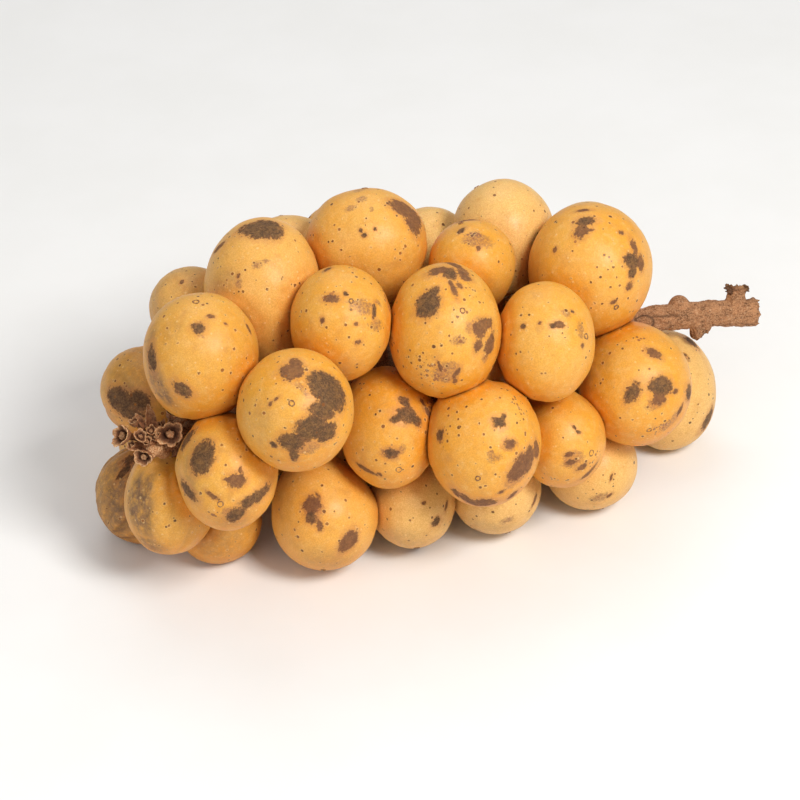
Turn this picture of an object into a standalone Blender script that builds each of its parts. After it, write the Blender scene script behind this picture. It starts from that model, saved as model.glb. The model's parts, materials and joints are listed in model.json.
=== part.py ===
"""A longkong bunch lying on a table, at its real size. Lengths below are in millimetres, and MM turns them into metres.

The fruit crowd round one woody stem and flatten where they press on each other. Each sits in a small five-lobed
calyx on a short stalk. The stem has a cut end at +X and a tip of withered flowers at -X. The fruit on the near
side are placed where the photograph shows them, and those behind by their station and angle on the stem.
"""

import math

import bmesh
import bpy
import numpy as np
from mathutils import Vector

MM = 0.001

# The photograph's view: how it is turned and tilted, and the scale at the middle of the bunch
VIEW_AZIMUTH = math.radians(-20)
VIEW_ELEVATION = math.radians(36)
VIEW_DISTANCE = 900.0
MM_PER_PIXEL = 0.33
PHOTO_MIDDLE = (400.0, 375.0)
MIDDLE_HEIGHT = 50.0

# Fruit in sight: pixel of the centre, half width and half height in pixels, lean in degrees,
# and how far in mm the centre stands nearer the viewer than the stem
SEEN_FRUIT = {
    "fruit_01": (290, 262, 50, 47, 0, -18),
    "fruit_02": (262, 286, 58, 69, 8, 12),
    "fruit_03": (367, 242, 61, 54, 0, 10),
    "fruit_04": (430, 252, 46, 46, 0, -18),
    "fruit_05": (503, 232, 51, 53, 0, -2),
    "fruit_06": (472, 263, 44, 44, 0, 24),
    "fruit_07": (590, 268, 62, 65, 0, 18),
    "fruit_08": (588, 255, 52, 54, 0, -18),
    "fruit_09": (192, 308, 43, 42, 0, -10),
    "fruit_10": (201, 354, 58, 62, 0, 28),
    "fruit_11": (341, 322, 51, 57, 0, 36),
    "fruit_12": (445, 331, 57, 69, 0, 46),
    "fruit_13": (545, 342, 50, 61, 0, 41),
    "fruit_14": (635, 386, 57, 61, 0, 30),
    "fruit_15": (668, 392, 49, 59, 0, -3),
    "fruit_16": (146, 391, 46, 46, 0, -6),
    "fruit_17": (296, 410, 58, 62, 0, 46),
    "fruit_18": (389, 429, 50, 61, 0, 34),
    "fruit_19": (484, 442, 57, 65, 0, 38),
    "fruit_20": (562, 440, 44, 48, 0, 26),
    "fruit_21": (590, 464, 47, 46, 0, -1),
    "fruit_22": (495, 488, 46, 46, 0, 1),
    "fruit_23": (412, 504, 43, 44, 0, -1),
    "fruit_24": (325, 517, 53, 53, 0, 1),
    "fruit_25": (228, 472, 50, 59, 0, 30),
    "fruit_26": (170, 502, 46, 53, 0, 6),
    "fruit_27": (142, 494, 47, 50, 0, -22),
    "fruit_28": (218, 520, 44, 44, 0, -12),
}

# Fruit out of sight: station along X, angle round the stem from straight down towards the back in degrees,
# distance out from the stem, and radius
HIDDEN_FRUIT = {
    "fruit_29": (-24, 12, 33, 17.0),
    "fruit_30": (8, 12, 33, 16.5),
    "fruit_31": (40, 10, 33, 17.5),
    "fruit_32": (72, 8, 33, 16.0),
    "fruit_33": (-66, 46, 40, 16.5),
    "fruit_34": (-38, 54, 42, 18.5),
    "fruit_35": (-4, 54, 42, 18.5),
    "fruit_36": (30, 54, 42, 18.0),
    "fruit_37": (62, 52, 42, 18.0),
    "fruit_38": (-54, 92, 40, 18.0),
    "fruit_39": (-20, 92, 43, 19.0),
    "fruit_40": (15, 88, 43, 18.5),
    "fruit_41": (48, 90, 42, 18.5),
    "fruit_42": (-4, 118, 44, 16.0),
}

# Undergrown fruit pressed close to the stem, given in the same way
INNER_FRUIT = {
    "fruit_43": (-44, -125, 20, 11.0),
    "fruit_44": (22, -104, 21, 12.0),
    "fruit_45": (62, 140, 22, 12.0),
}

# The stem's line: pixel, mm nearer the viewer than the bunch's own axis, and radius in mm, from the flower tip
# to the cut end
STEM_LINE = (
    (162, 446, 13, 2.2),
    (186, 432, 8, 2.8),
    (230, 417, 3, 3.4),
    (310, 397, 0, 3.9),
    (400, 379, 0, 4.1),
    (500, 358, 0, 4.2),
    (590, 336, 0, 4.3),
    (650, 320, 0, 4.5),
    (700, 314, 0, 4.3),
    (735, 313, 0, 4.5),
    (754, 312, 0, 4.7),
)
STEM_SIDES = 12
STEM_RINGS = 38
BARK_DEPTH = 0.05
CUT_ROUGHNESS = 0.7

# Knobs and scars on the bare stem: pixel, mm nearer, then half size in mm along the picture's right, up and near
KNOBS = (
    (644, 322, 3.4, 3.0, 2.2, 1.7),
    (679, 306, 0.5, 3.4, 3.6, 2.8),
    (695, 326, 0.5, 3.0, 3.9, 2.8),
    (704, 328, 0.0, 2.5, 3.6, 2.4),
)

# The broken-off side branch: its foot and its top as pixel and mm nearer, its radius, and how ragged it broke
STUB_FOOT = (735, 309, 0.0)
STUB_TOP = (737, 287, 0.5)
STUB_RADIUS = 3.3
STUB_RAGGED = 0.9

# Withered flowers at the tip: pixel and mm nearer of the middle, radius in mm, lobes, and which way the flower
# faces along the picture's right, up and near
FLOWERS = (
    (171, 434, 16, 4.2, 6, 0.1, 0.1, 1.0),
    (143, 457, 17, 2.9, 5, -0.4, -0.3, 1.0),
    (121, 436, 15, 3.3, 5, -0.9, 0.3, 0.6),
    (140, 435, 19, 1.9, 5, 0.2, 0.5, 1.0),
    (172, 413, 14, 2.2, 5, 0.3, 0.9, 0.5),
    (134, 421, 15, 1.9, 5, -0.3, 0.9, 0.4),
)
FLOWER_FOOT = (163, 445, 11.5)
BRACT = ((153, 440, 14), (147.5, 404, 17), 1.9)

# How the fruit press on each other, on the stem and on the table
SETTLE_STEPS = 400
SQUEEZE = 0.925
PULL = 0.12
WEIGHT = 0.15
STEM_RADIUS = 4.0
STALK_ROOM = 4.0
TABLE_SINK = 0.7
CELL_GAP = 0.34
EDGE_SOFTNESS = 1.1
STALK_TAPER = 0.22
BEARING_SHARE = 0.67
FOOT_REACH = 12.0

# A fruit's stalk and calyx
STALK_FOOT_RADIUS = 3.0
STALK_TOP_RADIUS = 2.1
CALYX_RADIUS = 5.2
CALYX_DEPTH = 2.6
CALYX_LOBES = 5
LOBE_THICKNESS = 0.3
FRUIT_GAP = 0.5

VIEW_RIGHT = np.array([math.cos(VIEW_AZIMUTH), math.sin(VIEW_AZIMUTH), 0.0])
VIEW_NEAR = np.array(
    [
        math.sin(VIEW_AZIMUTH) * math.cos(VIEW_ELEVATION),
        -math.cos(VIEW_AZIMUTH) * math.cos(VIEW_ELEVATION),
        math.sin(VIEW_ELEVATION),
    ]
)
VIEW_UP = np.cross(VIEW_NEAR, VIEW_RIGHT)
MIDDLE = np.array([0.0, 0.0, MIDDLE_HEIGHT])
EYE = MIDDLE + VIEW_DISTANCE * VIEW_NEAR
# The stem lies along X, so it goes away from the viewer towards the right of the picture
AWAY_TO_RIGHT = VIEW_NEAR[0] / VIEW_RIGHT[0]


def unit(vector):
    return vector / np.linalg.norm(vector)


def picture_depth(x, near):
    """How much nearer than the middle a point is, if it is near mm nearer than the stem, and how far to the right."""
    offset = (x - PHOTO_MIDDLE[0]) * MM_PER_PIXEL
    right = offset * (VIEW_DISTANCE - near) / (VIEW_DISTANCE + AWAY_TO_RIGHT * offset)
    return near + AWAY_TO_RIGHT * right, right


def picture_scale(x, near):
    """Millimetres to a pixel there: what stands nearer looks larger."""
    depth, _ = picture_depth(x, near)
    return MM_PER_PIXEL * (VIEW_DISTANCE - depth) / VIEW_DISTANCE


def from_picture(x, y, near):
    """The point seen at a pixel of the photograph, near mm nearer the viewer than the stem."""
    depth, right = picture_depth(x, near)
    up = (PHOTO_MIDDLE[1] - y) * picture_scale(x, near)
    return MIDDLE + right * VIEW_RIGHT + up * VIEW_UP + depth * VIEW_NEAR


def catmull_rom(knots, at):
    """Points at these parameters of the smooth curve through the knots."""
    padded = np.vstack([2 * knots[0] - knots[1], knots, 2 * knots[-1] - knots[-2]])
    start = np.minimum(at.astype(int), len(knots) - 2)
    t = (at - start)[:, None]
    a, b, c, d = (padded[start + k] for k in range(4))
    return 0.5 * (2 * b + (c - a) * t + (2 * a - 5 * b + 4 * c - d) * t**2 + (3 * b - a - 3 * c + d) * t**3)


def stem_path(count=90):
    """Points and radii along the stem, read from a smooth curve through its line's own points."""
    knots = np.array([from_picture(x, y, near) for x, y, near, _ in STEM_LINE])
    radii = np.array([radius for *_, radius in STEM_LINE])
    at = np.linspace(0, len(knots) - 1, count)
    return catmull_rom(knots, at), np.interp(at, np.arange(len(radii)), radii)


class Fruit:
    """A fruit's centre, the matrix that makes its ellipsoid a unit ball, its stalk's direction and its walls."""

    def __init__(self, name, centre, ball, seen):
        self.name = name
        self.centre = centre
        self.ball = ball
        self.seen = seen
        self.foot = None
        self.stalk = None
        self.walls = []

    def reach(self, direction):
        return 1.0 / float(np.linalg.norm(self.ball @ direction))

    def radius(self, direction):
        """From the centre to the skin: an ellipsoid drawn out towards its stalk, softly cut by its walls."""
        free = self.reach(direction) * (1.0 + STALK_TAPER * max(0.0, float(direction @ self.stalk)) ** 3)
        excess = [0.0]
        for normal, distance in self.walls:
            facing = float(direction @ normal)
            if facing > 0.05:
                excess.append((free - distance / facing) / EDGE_SOFTNESS)
        return free - EDGE_SOFTNESS * float(np.logaddexp.reduce(excess))

    def wall_before(self, point, room):
        """Adds a wall room mm short of a point outside."""
        towards = point - self.centre
        far = float(np.linalg.norm(towards))
        self.walls.append((towards / far, far - room))


def seen_fruit():
    for name, (x, y, half_width, half_height, lean, near) in SEEN_FRUIT.items():
        scale = picture_scale(x, near)
        turn = math.radians(lean)
        across = math.cos(turn) * VIEW_RIGHT - math.sin(turn) * VIEW_UP
        along = math.sin(turn) * VIEW_RIGHT + math.cos(turn) * VIEW_UP
        depth = max(17.0, 1.0 + min(half_width, half_height) * scale)
        ball = np.array([across / (half_width * scale), along / (half_height * scale), VIEW_NEAR / depth])
        yield Fruit(name, from_picture(x, y, near), ball, True)


def hidden_fruit():
    for name, (station, angle, out, radius) in (HIDDEN_FRUIT | INNER_FRUIT).items():
        turn = math.radians(angle)
        centre = np.array([station, out * math.sin(turn), MIDDLE_HEIGHT - out * math.cos(turn)])
        yield Fruit(name, centre, np.eye(3) / radius, False)


def nearest_on_stem(centres, stem):
    """The way from the nearest point of the stem to each centre, and how long it is."""
    ways = centres[:, None] - stem[None]
    nearest = np.linalg.norm(ways, axis=2).argmin(axis=1)
    outward = ways[np.arange(len(centres)), nearest]
    far = np.linalg.norm(outward, axis=1)
    return outward / far[:, None], far


def settle(fruit, stem):
    """Moves the fruit until none sinks far into another, into the stem or into the table.
    A fruit in sight moves only along its line of sight, so that it keeps its place in the picture."""
    centres = np.array([f.centre for f in fruit])
    balls = np.array([f.ball for f in fruit])
    heights = np.sqrt(np.linalg.inv(np.einsum("iba,ibc->iac", balls, balls))[:, 2, 2])
    seen = np.array([f.seen for f in fruit])[:, None]
    spare = np.eye(len(fruit), dtype=bool)
    for step in range(SETTLE_STEPS):
        away = centres[None] - centres[:, None]
        far = np.linalg.norm(away, axis=2)
        far[spare] = 1.0
        away /= far[..., None]
        away[spare] = (0.0, 0.0, 1.0)
        reach = 1.0 / np.linalg.norm(np.einsum("iab,ijb->ija", balls, away), axis=2)
        overlap = np.clip(SQUEEZE * (reach + reach.T) - far, 0, None)
        overlap[spare] = 0.0
        move = -0.5 * (overlap[..., None] * away).sum(axis=1)
        outward, clear = nearest_on_stem(centres, stem)
        inward = 1.0 / np.linalg.norm(np.einsum("iab,ib->ia", balls, outward), axis=1)
        move += np.clip(inward + STEM_RADIUS + STALK_ROOM - clear, 0, None)[:, None] * outward
        if step < SETTLE_STEPS / 2:
            move -= PULL * outward
        elif step < SETTLE_STEPS * 0.9:
            move[:, 2] -= WEIGHT
        move[:, 2] += np.clip(heights - TABLE_SINK - centres[:, 2], 0, None)
        sight = EYE - centres
        sight /= np.linalg.norm(sight, axis=1)[:, None]
        along = (move * sight).sum(axis=1)[:, None] * sight
        centres += 0.5 * np.where(seen, along, move)
    for f, centre in zip(fruit, centres):
        f.centre = centre


def closest_on_segment(point, start, end):
    way = end - start
    share = float((point - start) @ way) / float(way @ way)
    return start + min(1.0, max(0.0, share)) * way


def choose_foot(fruit, others, stem):
    """The stalk grows where it runs clear of the other fruit, and not far from the nearest point of the stem.
    The bare end of the stem bears none."""
    far = np.linalg.norm(stem - fruit.centre, axis=1)
    best = None
    for at in range(6, int(BEARING_SHARE * len(stem))):
        if far[at] > far.min() + FOOT_REACH:
            continue
        foot = stem[at]
        room = 6.0
        for other in others:
            point = closest_on_segment(other.centre, fruit.centre, foot)
            gap = point - other.centre
            wide = float(np.linalg.norm(gap))
            room = min(room, wide - other.reach(gap / wide))
        score = room - 0.35 * (far[at] - far.min())
        if best is None or score > best[0]:
            best = (score, foot)
    fruit.foot = best[1]
    fruit.stalk = unit(fruit.foot - fruit.centre)


def wall_off(fruit, stem, radii):
    """Gives each pair of near fruit a wall between them, where two pressed balls would flatten, and each fruit
    a wall before the stem and before the stalks and calyxes of the others."""
    for i, a in enumerate(fruit):
        for b in fruit[i + 1 :]:
            far = float(np.linalg.norm(b.centre - a.centre))
            if far > 75.0:
                continue
            towards = (b.centre - a.centre) / far
            wall = (far**2 + a.reach(towards) ** 2 - b.reach(-towards) ** 2) / (2 * far)
            a.walls.append((towards, wall - CELL_GAP / 2))
            b.walls.append((-towards, far - wall - CELL_GAP / 2))
    for a in fruit:
        nearest = np.linalg.norm(stem - a.centre, axis=1).argmin()
        a.wall_before(stem[nearest], radii[nearest] + STALK_ROOM)
        for x, y, near, radius, *_ in FLOWERS:
            middle = from_picture(x, y, near)
            room = 1.25 * radius + FRUIT_GAP
            if np.linalg.norm(middle - a.centre) - room < a.reach(unit(middle - a.centre)) + 2.0:
                a.wall_before(middle, room)
    for a in fruit:
        calyx = a.centre + a.stalk * (a.radius(a.stalk) + 1.5)
        for b in fruit:
            if a is b or np.linalg.norm(b.centre - a.centre) > 75.0:
                continue
            point = closest_on_segment(b.centre, calyx, a.foot)
            room = STALK_FOOT_RADIUS + FRUIT_GAP
            if np.linalg.norm(point - b.centre) - room < b.reach(unit(point - b.centre)) + 2.0:
                b.wall_before(point, room)


def material(name, colour, roughness):
    made = bpy.data.materials.new(name)
    made.use_nodes = True
    shader = made.node_tree.nodes["Principled BSDF"]
    shader.inputs["Base Color"].default_value = (*colour, 1.0)
    shader.inputs["Roughness"].default_value = roughness
    shader.inputs["Metallic"].default_value = 0.0
    return made


def add_object(name, bm, collection, finish):
    bmesh.ops.recalc_face_normals(bm, faces=bm.faces[:])
    mesh = bpy.data.meshes.new(name)
    bm.to_mesh(mesh)
    bm.free()
    mesh.materials.append(finish)
    mesh.shade_smooth()
    made = bpy.data.objects.new(name, mesh)
    collection.objects.link(made)
    return made


def build_fruit(fruit, collection, finish):
    """A ball whose points are moved out to the fruit's own radius, with a small flat where it rests on the table."""
    bm = bmesh.new()
    if fruit.name in HIDDEN_FRUIT:
        bmesh.ops.create_uvsphere(bm, u_segments=14, v_segments=9, radius=1.0)
    else:
        bmesh.ops.create_icosphere(bm, subdivisions=2 if fruit.name in INNER_FRUIT else 3, radius=1.0)
    for vertex in bm.verts:
        direction = unit(np.array(vertex.co))
        vertex.co = Vector(direction * fruit.radius(direction) * MM)
    table = -fruit.centre[2] * MM
    if min(vertex.co.z for vertex in bm.verts) < table:
        whole = bm.verts[:] + bm.edges[:] + bm.faces[:]
        cut = bmesh.ops.bisect_plane(bm, geom=whole, plane_co=(0, 0, table), plane_no=(0, 0, -1), clear_outer=True)
        rim = [edge for edge in cut["geom_cut"] if isinstance(edge, bmesh.types.BMEdge)]
        bmesh.ops.contextual_create(bm, geom=rim)
    made = add_object(fruit.name, bm, collection, finish)
    made.location = Vector(fruit.centre * MM)


def sides_of(axis):
    """Two directions square to an axis and to each other."""
    first = unit(np.cross(axis, VIEW_NEAR if abs(axis @ VIEW_NEAR) < 0.9 else VIEW_UP))
    return first, np.cross(axis, first)


def ring(centre, axis, radii, offsets=None):
    """Points round an axis, one for each radius, each moved along the axis by its own offset."""
    first, second = sides_of(axis)
    turns = 2 * np.pi * np.arange(len(radii)) / len(radii)
    points = centre + radii[:, None] * (np.cos(turns)[:, None] * first + np.sin(turns)[:, None] * second)
    return points if offsets is None else points + offsets[:, None] * axis


def add_rings(bm, rings, end=None):
    """A closed skin over rings of points: a flat face on the first, and one or a fan to the end point on the last."""
    rows = [[bm.verts.new(Vector((point - MIDDLE) * MM)) for point in points] for points in rings]
    for row, following in zip(rows, rows[1:]):
        for k in range(len(row)):
            after = (k + 1) % len(row)
            bm.faces.new((row[k], row[after], following[after], following[k]))
    bm.faces.new(rows[0][::-1])
    if end is None:
        bm.faces.new(rows[-1])
        return
    tip = bm.verts.new(Vector((end - MIDDLE) * MM))
    for k in range(len(rows[-1])):
        bm.faces.new((rows[-1][k], rows[-1][(k + 1) % len(rows[-1])], tip))


def stem_mesh():
    """The stem with low lengthwise ridges of bark and a rough cut end."""
    bm = bmesh.new()
    path, radii = stem_path(STEM_RINGS)
    turns = 2 * np.pi * np.arange(STEM_SIDES) / STEM_SIDES
    rings = []
    for k, (point, radius) in enumerate(zip(path, radii)):
        axis = unit(path[min(k + 1, STEM_RINGS - 1)] - path[max(k - 1, 0)])
        bark = 1 + BARK_DEPTH * (np.sin(3 * turns + 0.23 * k) + 0.7 * np.sin(5 * turns + 1.0 - 0.31 * k))
        rough = CUT_ROUGHNESS * np.sin(3 * turns + 0.6) if k == STEM_RINGS - 1 else None
        rings.append(ring(point, axis, radius * bark * (1 + 0.03 * math.sin(0.9 * k)), rough))
    add_rings(bm, rings)
    return bm


def knob_mesh(x, y, near, wide, high, deep):
    bm = bmesh.new()
    bmesh.ops.create_icosphere(bm, subdivisions=2, radius=1.0)
    centre = from_picture(x, y, near)
    for vertex in bm.verts:
        right, up, out = vertex.co
        point = centre + wide * right * VIEW_RIGHT + high * up * VIEW_UP + deep * out * VIEW_NEAR
        vertex.co = Vector((point - MIDDLE) * MM)
    return bm


def stub_mesh():
    """The broken side branch, its top torn into points."""
    bm = bmesh.new()
    foot, top = from_picture(*STUB_FOOT), from_picture(*STUB_TOP)
    axis = unit(top - foot)
    even = np.ones(10)
    torn = STUB_RAGGED * np.array([1.0, -0.6, 0.5, -0.2, 0.9, -0.8, 0.3, 0.8, -0.5, 0.2])
    middle = foot + 0.6 * (top - foot)
    rings = [ring(foot, axis, 0.85 * STUB_RADIUS * even), ring(middle, axis, 0.9 * STUB_RADIUS * even)]
    rings.append(ring(top, axis, STUB_RADIUS * (1 + 0.12 * np.cos(np.pi * np.arange(10))), torn))
    add_rings(bm, rings, end=top - 0.5 * axis)
    return bm


def bract_mesh():
    """The pointed dry scale that stands up among the flowers."""
    bm = bmesh.new()
    foot, tip = from_picture(*BRACT[0]), from_picture(*BRACT[1])
    axis = unit(tip - foot)
    squash = BRACT[2] * np.array([1.0, 0.75, 0.55, 0.75, 1.0, 0.75, 0.55, 0.75])
    shares = ((0, 0.7), (0.35, 1.0), (0.75, 0.5))
    rings = [ring(foot + share * (tip - foot), axis, wide * squash) for share, wide in shares]
    add_rings(bm, rings, end=tip)
    return bm


def flower_meshes(x, y, near, radius, lobes, right, up, out):
    """A withered flower: a lobed cup, and the stalk that carries it from the tip of the stem."""
    centre = from_picture(x, y, near)
    facing = unit(right * VIEW_RIGHT + up * VIEW_UP + out * VIEW_NEAR)
    base = centre - 0.9 * radius * facing
    count = 2 * lobes
    even = np.ones(count)
    lobed = radius * (1 + 0.17 * np.cos(np.pi * np.arange(count)))
    cup = bmesh.new()
    rim = ring(centre, facing, lobed)
    hollow = ring(centre - 0.12 * radius * facing, facing, 0.78 * lobed)
    add_rings(cup, [ring(base, facing, 0.42 * radius * even), rim, hollow], end=centre - 0.5 * radius * facing)
    stalk = bmesh.new()
    foot = from_picture(*FLOWER_FOOT)
    top = base + 0.2 * radius * facing
    axis = unit(top - foot)
    add_rings(stalk, [ring(foot, axis, 1.4 * np.ones(8)), ring(top, axis, 0.34 * radius * np.ones(8))])
    return cup, stalk


def inside_walls(fruit, point):
    """Whether a point beside the fruit stays clear of its neighbours."""
    offset = point - fruit.centre
    return all(offset @ normal <= distance for normal, distance in fruit.walls)


def stalk_mesh(fruit, stem, radii):
    """The stalk, from inside the stem to the calyx, whose lobes lie on the fruit and stop short of its neighbours."""
    bm = bmesh.new()
    axis = fruit.stalk
    first, second = sides_of(axis)
    pole = fruit.radius(axis) + FRUIT_GAP
    count = 2 * CALYX_LOBES
    rim = []
    for k in range(count):
        turn = 2 * math.pi * k / count
        side = math.cos(turn) * first + math.sin(turn) * second
        for arc in np.linspace(CALYX_RADIUS if k % 2 == 0 else 0.72 * CALYX_RADIUS, 0.5 * CALYX_RADIUS, 8):
            lean = arc / pole
            direction = math.cos(lean) * axis + math.sin(lean) * side
            tip = fruit.centre + direction * (fruit.radius(direction) + FRUIT_GAP + LOBE_THICKNESS)
            if inside_walls(fruit, tip):
                break
        rim.append(tip)
    neck = fruit.centre + axis * (pole + CALYX_DEPTH)
    even = np.ones(count)
    stem_radius = radii[np.linalg.norm(stem - fruit.foot, axis=1).argmin()]
    foot = ring(fruit.foot, axis, min(STALK_FOOT_RADIUS, 0.8 * stem_radius) * even)
    add_rings(bm, [foot, ring(neck, axis, STALK_TOP_RADIUS * even), rim], end=fruit.centre + axis * pole)
    return bm


def keep_outer_skin(mesh):
    """Drops the skins of any small pockets that the union closed in among the stalks."""
    bm = bmesh.new()
    bm.from_mesh(mesh)
    left = set(bm.faces)
    skins = []
    while left:
        skin = [left.pop()]
        for face in skin:
            beside = {other for edge in face.edges for other in edge.link_faces} & left
            skin.extend(beside)
            left -= beside
        skins.append(skin)
    skins.sort(key=len)
    for skin in skins[:-1]:
        bmesh.ops.delete(bm, geom=skin, context="FACES")
    bm.to_mesh(mesh)
    bm.free()


def build_rachis(fruit, stem, radii, collection, finish):
    """The whole stem as one piece: its outgrowths, flowers, stalks and calyxes are joined to it in one union."""
    rachis = add_object("rachis", stem_mesh(), collection, finish)
    pieces = bpy.data.collections.new("rachis_pieces")
    bpy.context.scene.collection.children.link(pieces)
    meshes = [stub_mesh(), bract_mesh()]
    meshes += [knob_mesh(*knob) for knob in KNOBS]
    meshes += [mesh for flower in FLOWERS for mesh in flower_meshes(*flower)]
    meshes += [stalk_mesh(f, stem, radii) for f in fruit]
    for count, bm in enumerate(meshes):
        add_object(f"rachis_piece_{count:02d}", bm, pieces, finish)
    union = rachis.modifiers.new("union", "BOOLEAN")
    union.operation = "UNION"
    union.operand_type = "COLLECTION"
    union.collection = pieces
    union.solver = "EXACT"
    bpy.context.view_layer.update()
    whole = bpy.data.meshes.new_from_object(rachis.evaluated_get(bpy.context.evaluated_depsgraph_get()))
    rachis.modifiers.clear()
    rachis.data = whole
    whole.name = "rachis"
    keep_outer_skin(whole)
    for piece in list(pieces.objects):
        bpy.data.objects.remove(piece)
    bpy.data.collections.remove(pieces)
    rachis.location = Vector(MIDDLE * MM)


def centre_on_origin(collection):
    """Moves the bunch so that its bounding box stands centred on the origin."""
    bpy.context.view_layer.update()
    points = [made.matrix_world @ vertex.co for made in collection.objects for vertex in made.data.vertices]
    shift = Vector([-(min(p[axis] for p in points) + max(p[axis] for p in points)) / 2 for axis in range(2)] + [0])
    for made in collection.objects:
        made.location += shift


def main():
    for old in list(bpy.data.objects):
        bpy.data.objects.remove(old)
    parts = bpy.data.collections.new("longkong_bunch")
    bpy.context.scene.collection.children.link(parts)
    skin = material("longkong_skin", (0.78, 0.47, 0.14), 0.5)
    wood = material("dry_stem", (0.27, 0.15, 0.08), 0.8)
    stem, radii = stem_path()
    fruit = [*seen_fruit(), *hidden_fruit()]
    settle(fruit, stem)
    for f in fruit:
        choose_foot(f, [other for other in fruit if other is not f], stem)
    wall_off(fruit, stem, radii)
    for f in fruit:
        build_fruit(f, parts, skin)
    build_rachis(fruit, stem, radii, parts, wood)
    centre_on_origin(parts)


main()
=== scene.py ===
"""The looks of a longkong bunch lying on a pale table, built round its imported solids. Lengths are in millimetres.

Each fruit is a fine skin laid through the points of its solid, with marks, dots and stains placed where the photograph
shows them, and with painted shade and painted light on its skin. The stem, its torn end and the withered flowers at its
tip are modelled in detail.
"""

import json
import math

import bmesh
import bpy
import numpy as np
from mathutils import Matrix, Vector
from mathutils.bvhtree import BVHTree

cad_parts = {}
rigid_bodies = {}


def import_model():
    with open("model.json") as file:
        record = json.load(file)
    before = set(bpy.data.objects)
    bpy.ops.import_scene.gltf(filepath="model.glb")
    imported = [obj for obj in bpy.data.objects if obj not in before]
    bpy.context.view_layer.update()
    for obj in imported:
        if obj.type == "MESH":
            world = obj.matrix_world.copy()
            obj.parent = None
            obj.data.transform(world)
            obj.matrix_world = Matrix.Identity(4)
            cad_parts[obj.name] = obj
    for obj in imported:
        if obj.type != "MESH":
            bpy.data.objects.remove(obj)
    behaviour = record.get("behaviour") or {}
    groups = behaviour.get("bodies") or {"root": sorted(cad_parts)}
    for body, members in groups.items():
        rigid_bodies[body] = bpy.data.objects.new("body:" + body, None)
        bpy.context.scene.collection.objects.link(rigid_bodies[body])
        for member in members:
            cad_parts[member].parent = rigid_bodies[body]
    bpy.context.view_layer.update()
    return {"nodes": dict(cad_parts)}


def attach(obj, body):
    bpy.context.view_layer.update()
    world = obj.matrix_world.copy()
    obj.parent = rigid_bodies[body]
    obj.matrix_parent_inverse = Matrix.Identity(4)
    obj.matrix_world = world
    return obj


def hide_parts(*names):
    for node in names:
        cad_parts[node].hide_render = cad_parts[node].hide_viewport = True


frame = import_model()

MM = 0.001
BODY = "root"

# The photograph's view. The row's middle stands this far from the point that the view is centred on
VIEW_AZIMUTH = math.radians(-20)
VIEW_ELEVATION = math.radians(36)
VIEW_DISTANCE = 900.0
MM_PER_PIXEL = 0.33
PHOTO_SIZE = 800
PHOTO_MIDDLE = (400.0, 375.0)
MIDDLE = np.array([-13.429, -5.174, 50.0])
SENSOR = 36.0

VIEW_RIGHT = np.array([math.cos(VIEW_AZIMUTH), math.sin(VIEW_AZIMUTH), 0.0])
VIEW_NEAR = np.array(
    [
        math.sin(VIEW_AZIMUTH) * math.cos(VIEW_ELEVATION),
        -math.cos(VIEW_AZIMUTH) * math.cos(VIEW_ELEVATION),
        math.sin(VIEW_ELEVATION),
    ]
)
VIEW_UP = np.cross(VIEW_NEAR, VIEW_RIGHT)
EYE = MIDDLE + VIEW_DISTANCE * VIEW_NEAR
AWAY_TO_RIGHT = VIEW_NEAR[0] / VIEW_RIGHT[0]

# Fruit go by number. The lower ones show in the photograph
FRUIT = range(1, 46)
HIDDEN = range(29, 43)
INNER = range(43, 46)
SEEN_LEVEL, HIDDEN_LEVEL, INNER_LEVEL = 6, 5, 4  # how finely each kind's skin is divided

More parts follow.
